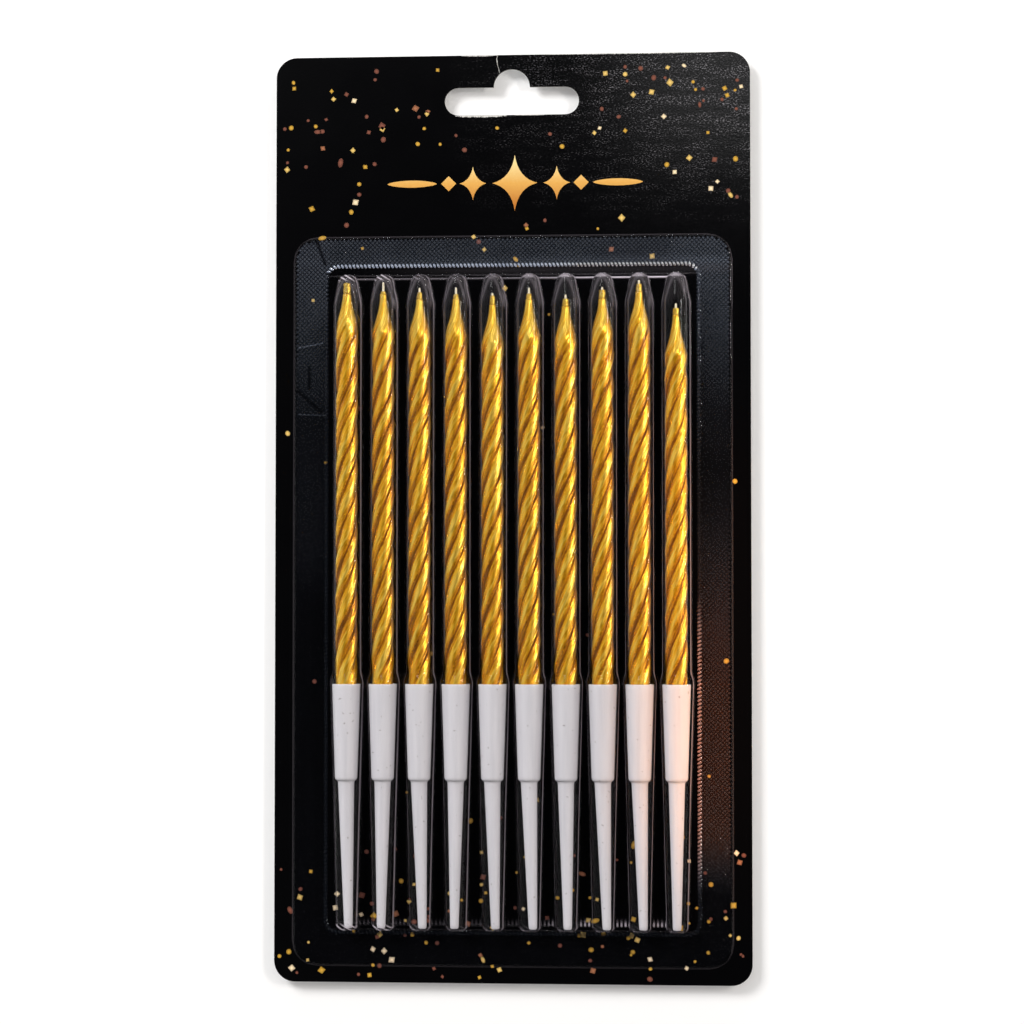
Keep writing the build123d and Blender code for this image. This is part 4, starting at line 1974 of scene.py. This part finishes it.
@dataclass
class PickHolders:
    """The ten white pick holders: a tapered cup with a socket, a round step and a long pick."""

    socket_depth: float = 15.0
    socket_floor: float = 2.294
    socket_rim: float = 2.7625
    rim_radius: float = 3.3425
    cup_end: float = 2.661
    cup_length: float = 21.8
    shoulder: float = 1.6
    pick_top: float = 1.925
    pick_tip: float = 1.0
    tip_round: float = 0.45
    rim_round: float = 0.16
    around: int = 56
    leans: tuple = (0.6, -0.3, 0.8, -0.3, 0.7, 0.9, 0.4, 0.9, 0.8, 0.0)

    def profile(self, length: float) -> np.ndarray:
        """Radius and place below the rim, from the socket floor round the rim and down to the tip.

        Args:
            length: Length of the holder.

        Returns:
            Rows of radius and place.
        """
        def along(start: Point, end: Point, shares: Sequence[float]) -> list[Point]:
            """Points at shares of the way along a straight line."""
            return [(start[0] + (end[0] - start[0]) * t, start[1] + (end[1] - start[1]) * t) for t in shares]

        rim, floor, deep = self.rim_round, self.socket_floor, self.socket_depth
        step_top, step_foot = -self.cup_length, -self.cup_length - self.shoulder
        points = [(0.0, -deep), (floor * 0.6, -deep), (floor - 0.15, -deep), (floor, -deep + 0.15)]
        points += along((floor, -deep), (self.socket_rim, 0.0), (0.25, 0.5, 0.75, 0.95))
        points += arc((self.socket_rim + rim, -rim), rim, 180, 90, 3)
        points += arc((self.rim_radius - rim, -rim), rim, 90, 0, 3)
        points += along((self.rim_radius, 0.0), (self.cup_end, step_top), (0.05, 0.2, 0.4, 0.6, 0.8, 0.94))
        drop, inset = self.shoulder * 0.55, (self.cup_end - self.pick_top) * 0.72
        points += [(self.cup_end - inset * (1 - math.cos(a)), step_top - drop * math.sin(a))
                   for a in np.radians(np.linspace(0, 80, 7))]
        x, y = points[-1]
        points += [(x + (self.pick_top - x) * s, y + (step_foot - y) * t)
                   for s, t in ((0.6, 0.25), (0.88, 0.6), (1.0, 1.0))]
        points += along((self.pick_top, step_foot), (self.pick_tip, -length), (0.1, 0.3, 0.5, 0.7, 0.9, 0.97))
        tip, end = self.pick_tip - self.tip_round, self.tip_round - length
        points += [(tip + self.tip_round * math.cos(a), end - self.tip_round * math.sin(a))
                   for a in np.radians([20, 45, 70, 90])]
        return np.array(points + [(0.0, -length)])

    def build_holder(self, place: CandlePlace, finish: bpy.types.Material) -> bpy.types.Object:
        """Builds one holder.

        Args:
            place: Which holder.
            finish: The white plastic.

        Returns:
            The holder piece.
        """
        low, high = place.corners("holder")
        x, z = place.axis
        length = float(high[1] - low[1])
        rows = self.profile(length)
        start = self.cup_length + self.shoulder
        lean = self.leans[place.number] * np.clip((-rows[:, 1] - start) / (length - start), 0, 1)
        angle = np.linspace(0, math.tau, self.around, endpoint=False)
        rings = rows[1:-1]
        r = rings[:, :1]
        points = np.stack((
            x + lean[1:-1, None] + r * np.cos(angle), np.repeat(high[1] + rings[:, 1:], self.around, 1),
            z + r * np.sin(angle),
        ), 2).reshape(-1, 3)
        ends = [(x + lean[i], high[1] + rows[i, 1], z) for i in (0, -1)]
        points = np.concatenate((points, ends))
        faces = tube_faces(len(rings), self.around)
        piece = mesh_piece(f"pick_holder_{place.label}", points, faces, [finish])
        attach(piece, Body.PACK.value)
        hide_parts(f"holder_{place.label}")
        return piece

    def build(self) -> list[bpy.types.Object]:
        """Builds every holder."""
        finish = WhitePlastic().material()
        return [self.build_holder(place, finish) for place in PLACES]


@dataclass(frozen=True)
class Lamp:
    """One soft rectangular lamp: where it hangs, what it lights and how much."""

    name: str
    place: tuple
    size: tuple
    power: float
    colour: tuple = (1.0, 1.0, 1.0)
    aim: tuple = (0.0, 0.0, 0.0)
    along: tuple = (0.0, 1.0, 0.0)
    mirrored: bool = True
    spread: float = 180.0
    pack_only: bool = False

    def hang(self) -> bpy.types.Object:
        """Hangs the lamp.

        Returns:
            The lamp object.
        """
        light = bpy.data.lights.new(self.name, "AREA")
        light.shape = "RECTANGLE"
        light.size, light.size_y = self.size
        light.energy, light.color = self.power, self.colour
        light.spread = math.radians(self.spread)
        lamp = bpy.data.objects.new(self.name, light)
        lamp.location = self.place
        back = (Vector(self.place) - Vector(self.aim)).normalized()
        across = Vector(self.along)
        across = (across - back * across.dot(back)).normalized()
        lamp.rotation_euler = Matrix((across, back.cross(across), back)).transposed().to_euler()
        lamp.visible_glossy = self.mirrored
        bpy.context.scene.collection.objects.link(lamp)
        return lamp


@dataclass
class Studio:
    """White floor, soft lamps, a room that is dark overhead, and the camera."""

    floor_drop: float = 2.2
    floor_half: float = 3000.0
    distance: float = 0.652
    from_right: float = 4.3
    from_below: float = 2.0
    pixel: float = 0.2371
    aim_x: float = 0.0
    aim_y: float = 1.1
    picture: int = 1024
    sensor: float = 36.0
    room_bands: tuple = (
        (0.0, (0.80, 0.80, 0.80)), (0.30, (0.86, 0.86, 0.86)), (0.62, (0.92, 0.92, 0.92)),
        (0.84, (0.85, 0.85, 0.85)), (0.93, (0.45, 0.45, 0.46)), (0.975, (0.004, 0.004, 0.005)),
    )
    left_tone: tuple = (0.99, 0.99, 1.0)
    right_tone: tuple = (1.08, 0.97, 0.88)

    def __post_init__(self) -> None:
        """Starts with no lamp kept off the floor."""
        self.flagged: list[bpy.types.Object] = []

    def build_floor(self) -> bpy.types.Object:
        """Lays the floor just under the card.

        Returns:
            The floor object.
        """
        half, z = self.floor_half, -self.floor_drop
        points = [(-half, -half, z), (half, -half, z), (half, half, z), (-half, half, z)]
        floor = mesh_piece("floor", points, [(0, 1, 2, 3)], [StudioFloor().material()], smooth=False)
        return floor

    def build_room(self) -> bpy.types.World:
        """Makes the room's light: pale at the horizon, dark overhead, warm at the right.

        Returns:
            The room's world.
        """
        world = bpy.data.worlds.new("room")
        world.use_nodes = True
        sketch = NodeSketch(world.node_tree)
        sketch.tree.nodes.clear()
        direction = sketch.field("ShaderNodeTexCoord", out="Generated")
        x, y, z = sketch.split(direction)
        level = sketch.ramp(z.clamped(), self.room_bands)
        tone = sketch.blend((x * 0.9).clamped(), self.left_tone, self.right_tone)
        near = (x * 0.28 + 0.97).clamped() * (y.hump(0.10, 0.42) * 0.7 + 0.30)
        colour = sketch.dimmed(sketch.blend(1.0, level, tone, "MULTIPLY"), near)
        glow = sketch.add("ShaderNodeBackground", {"Color": colour, "Strength": 1.0})
        output = sketch.add("ShaderNodeOutputWorld")
        sketch.feed(output.inputs["Surface"], glow.outputs[0])
        bpy.context.scene.world = world
        return world

    def build_lamps(self) -> list[bpy.types.Object]:
        """Hangs the lamps.

        Returns:
            The lamp objects.
        """
        lamps = (
            Lamp("soft_key", (-0.85, 0.80, 0.85), (0.5, 0.5), 17.0, (1.0, 0.99, 0.98), mirrored=False),
            Lamp("right_strip", (0.95, 0.42, 0.24), (0.6, 0.04), 0.9, (1.0, 0.98, 0.96), (0.0, 0.35, 0.0)),
            Lamp("edge_strip", (0.95, 0.03, 0.135), (0.26, 0.02), 0.5, (1.0, 0.99, 0.97), (0.0, 0.03, 0.0)),
            Lamp("right_softbox", (0.75, 0.28, 0.70), (0.32, 0.14), 3.2, (1.0, 0.97, 0.93)),
            Lamp("top_box", (-0.12, 0.62, 0.90), (0.30, 0.14), 0.6, along=(1.0, 0.0, 0.0)),
            Lamp("warm_beam", (0.34, -0.06, 0.40), (0.10, 0.01), 0.015, (1.0, 0.42, 0.12),
                 (0.054, -0.031, 0.004), mirrored=False, spread=7.0, pack_only=True),
            Lamp("top_strip", (0.0, 1.0, 0.30), (1.4, 0.06), 2.0, (0.88, 0.95, 1.0), along=(1.0, 0.0, 0.0)),
            Lamp("header_sheen", (0.07, 0.27, 0.80), (0.08, 0.12), 0.035, aim=(0.05, 0.10, 0.0)),
        )
        hung = [lamp.hang() for lamp in lamps]
        self.flagged = [piece for lamp, piece in zip(lamps, hung) if lamp.pack_only]
        return hung

    def flag(self, pieces: Iterable[bpy.types.Object]) -> None:
        """Keeps the flagged lamps' light off the floor.

        Args:
            pieces: The pieces that these lamps may light.
        """
        reach = bpy.data.collections.new("flagged_light")
        for piece in pieces:
            reach.objects.link(piece)
        for lamp in self.flagged:
            lamp.light_linking.receiver_collection = reach

    def build_camera(self) -> bpy.types.Object:
        """Sets the camera over the card, a little to its right and below its middle.

        Returns:
            The camera object.
        """
        data = bpy.data.cameras.new("camera")
        data.sensor_fit, data.sensor_width = "HORIZONTAL", self.sensor
        aim = Vector((self.aim_x * MM, self.aim_y * MM, 0.0))
        away = Vector((
            math.tan(math.radians(self.from_right)), -math.tan(math.radians(self.from_below)), 1.0,
        )).normalized()
        data.lens = self.distance / (self.pixel * MM * self.picture) * self.sensor
        data.clip_start, data.clip_end = 0.01, 50.0
        camera = bpy.data.objects.new("camera", data)
        camera.location = aim + away * self.distance
        across = Vector((0.0, 1.0, 0.0)).cross(away).normalized()
        camera.rotation_euler = Matrix((across, away.cross(across), away)).transposed().to_euler()
        bpy.context.scene.collection.objects.link(camera)
        bpy.context.scene.camera = camera
        return camera

    def build(self) -> None:
        """Builds the whole studio."""
        bpy.context.scene.view_settings.view_transform = "Standard"
        self.build_camera()
        self.build_floor()
        self.build_room()
        self.build_lamps()


def write_sizes() -> None:
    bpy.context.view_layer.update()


def main() -> None:
    """Builds the studio and every sub-assembly, and reports each piece."""
    logging.basicConfig(level=logging.INFO, format="%(name)s: %(message)s")
    studio = Studio()
    studio.build()
    pieces: list[bpy.types.Object] = []
    for assembly in (HangCard(), Blister(), SpiralCandles(), PickHolders()):
        for piece in assembly.build():
            piece.data.calc_loop_triangles()
            LOG.info("%s: %d triangles", piece.name, len(piece.data.loop_triangles))
            pieces.append(piece)
    studio.flag(pieces)
    write_sizes()


if __name__ == "__main__":
    main()
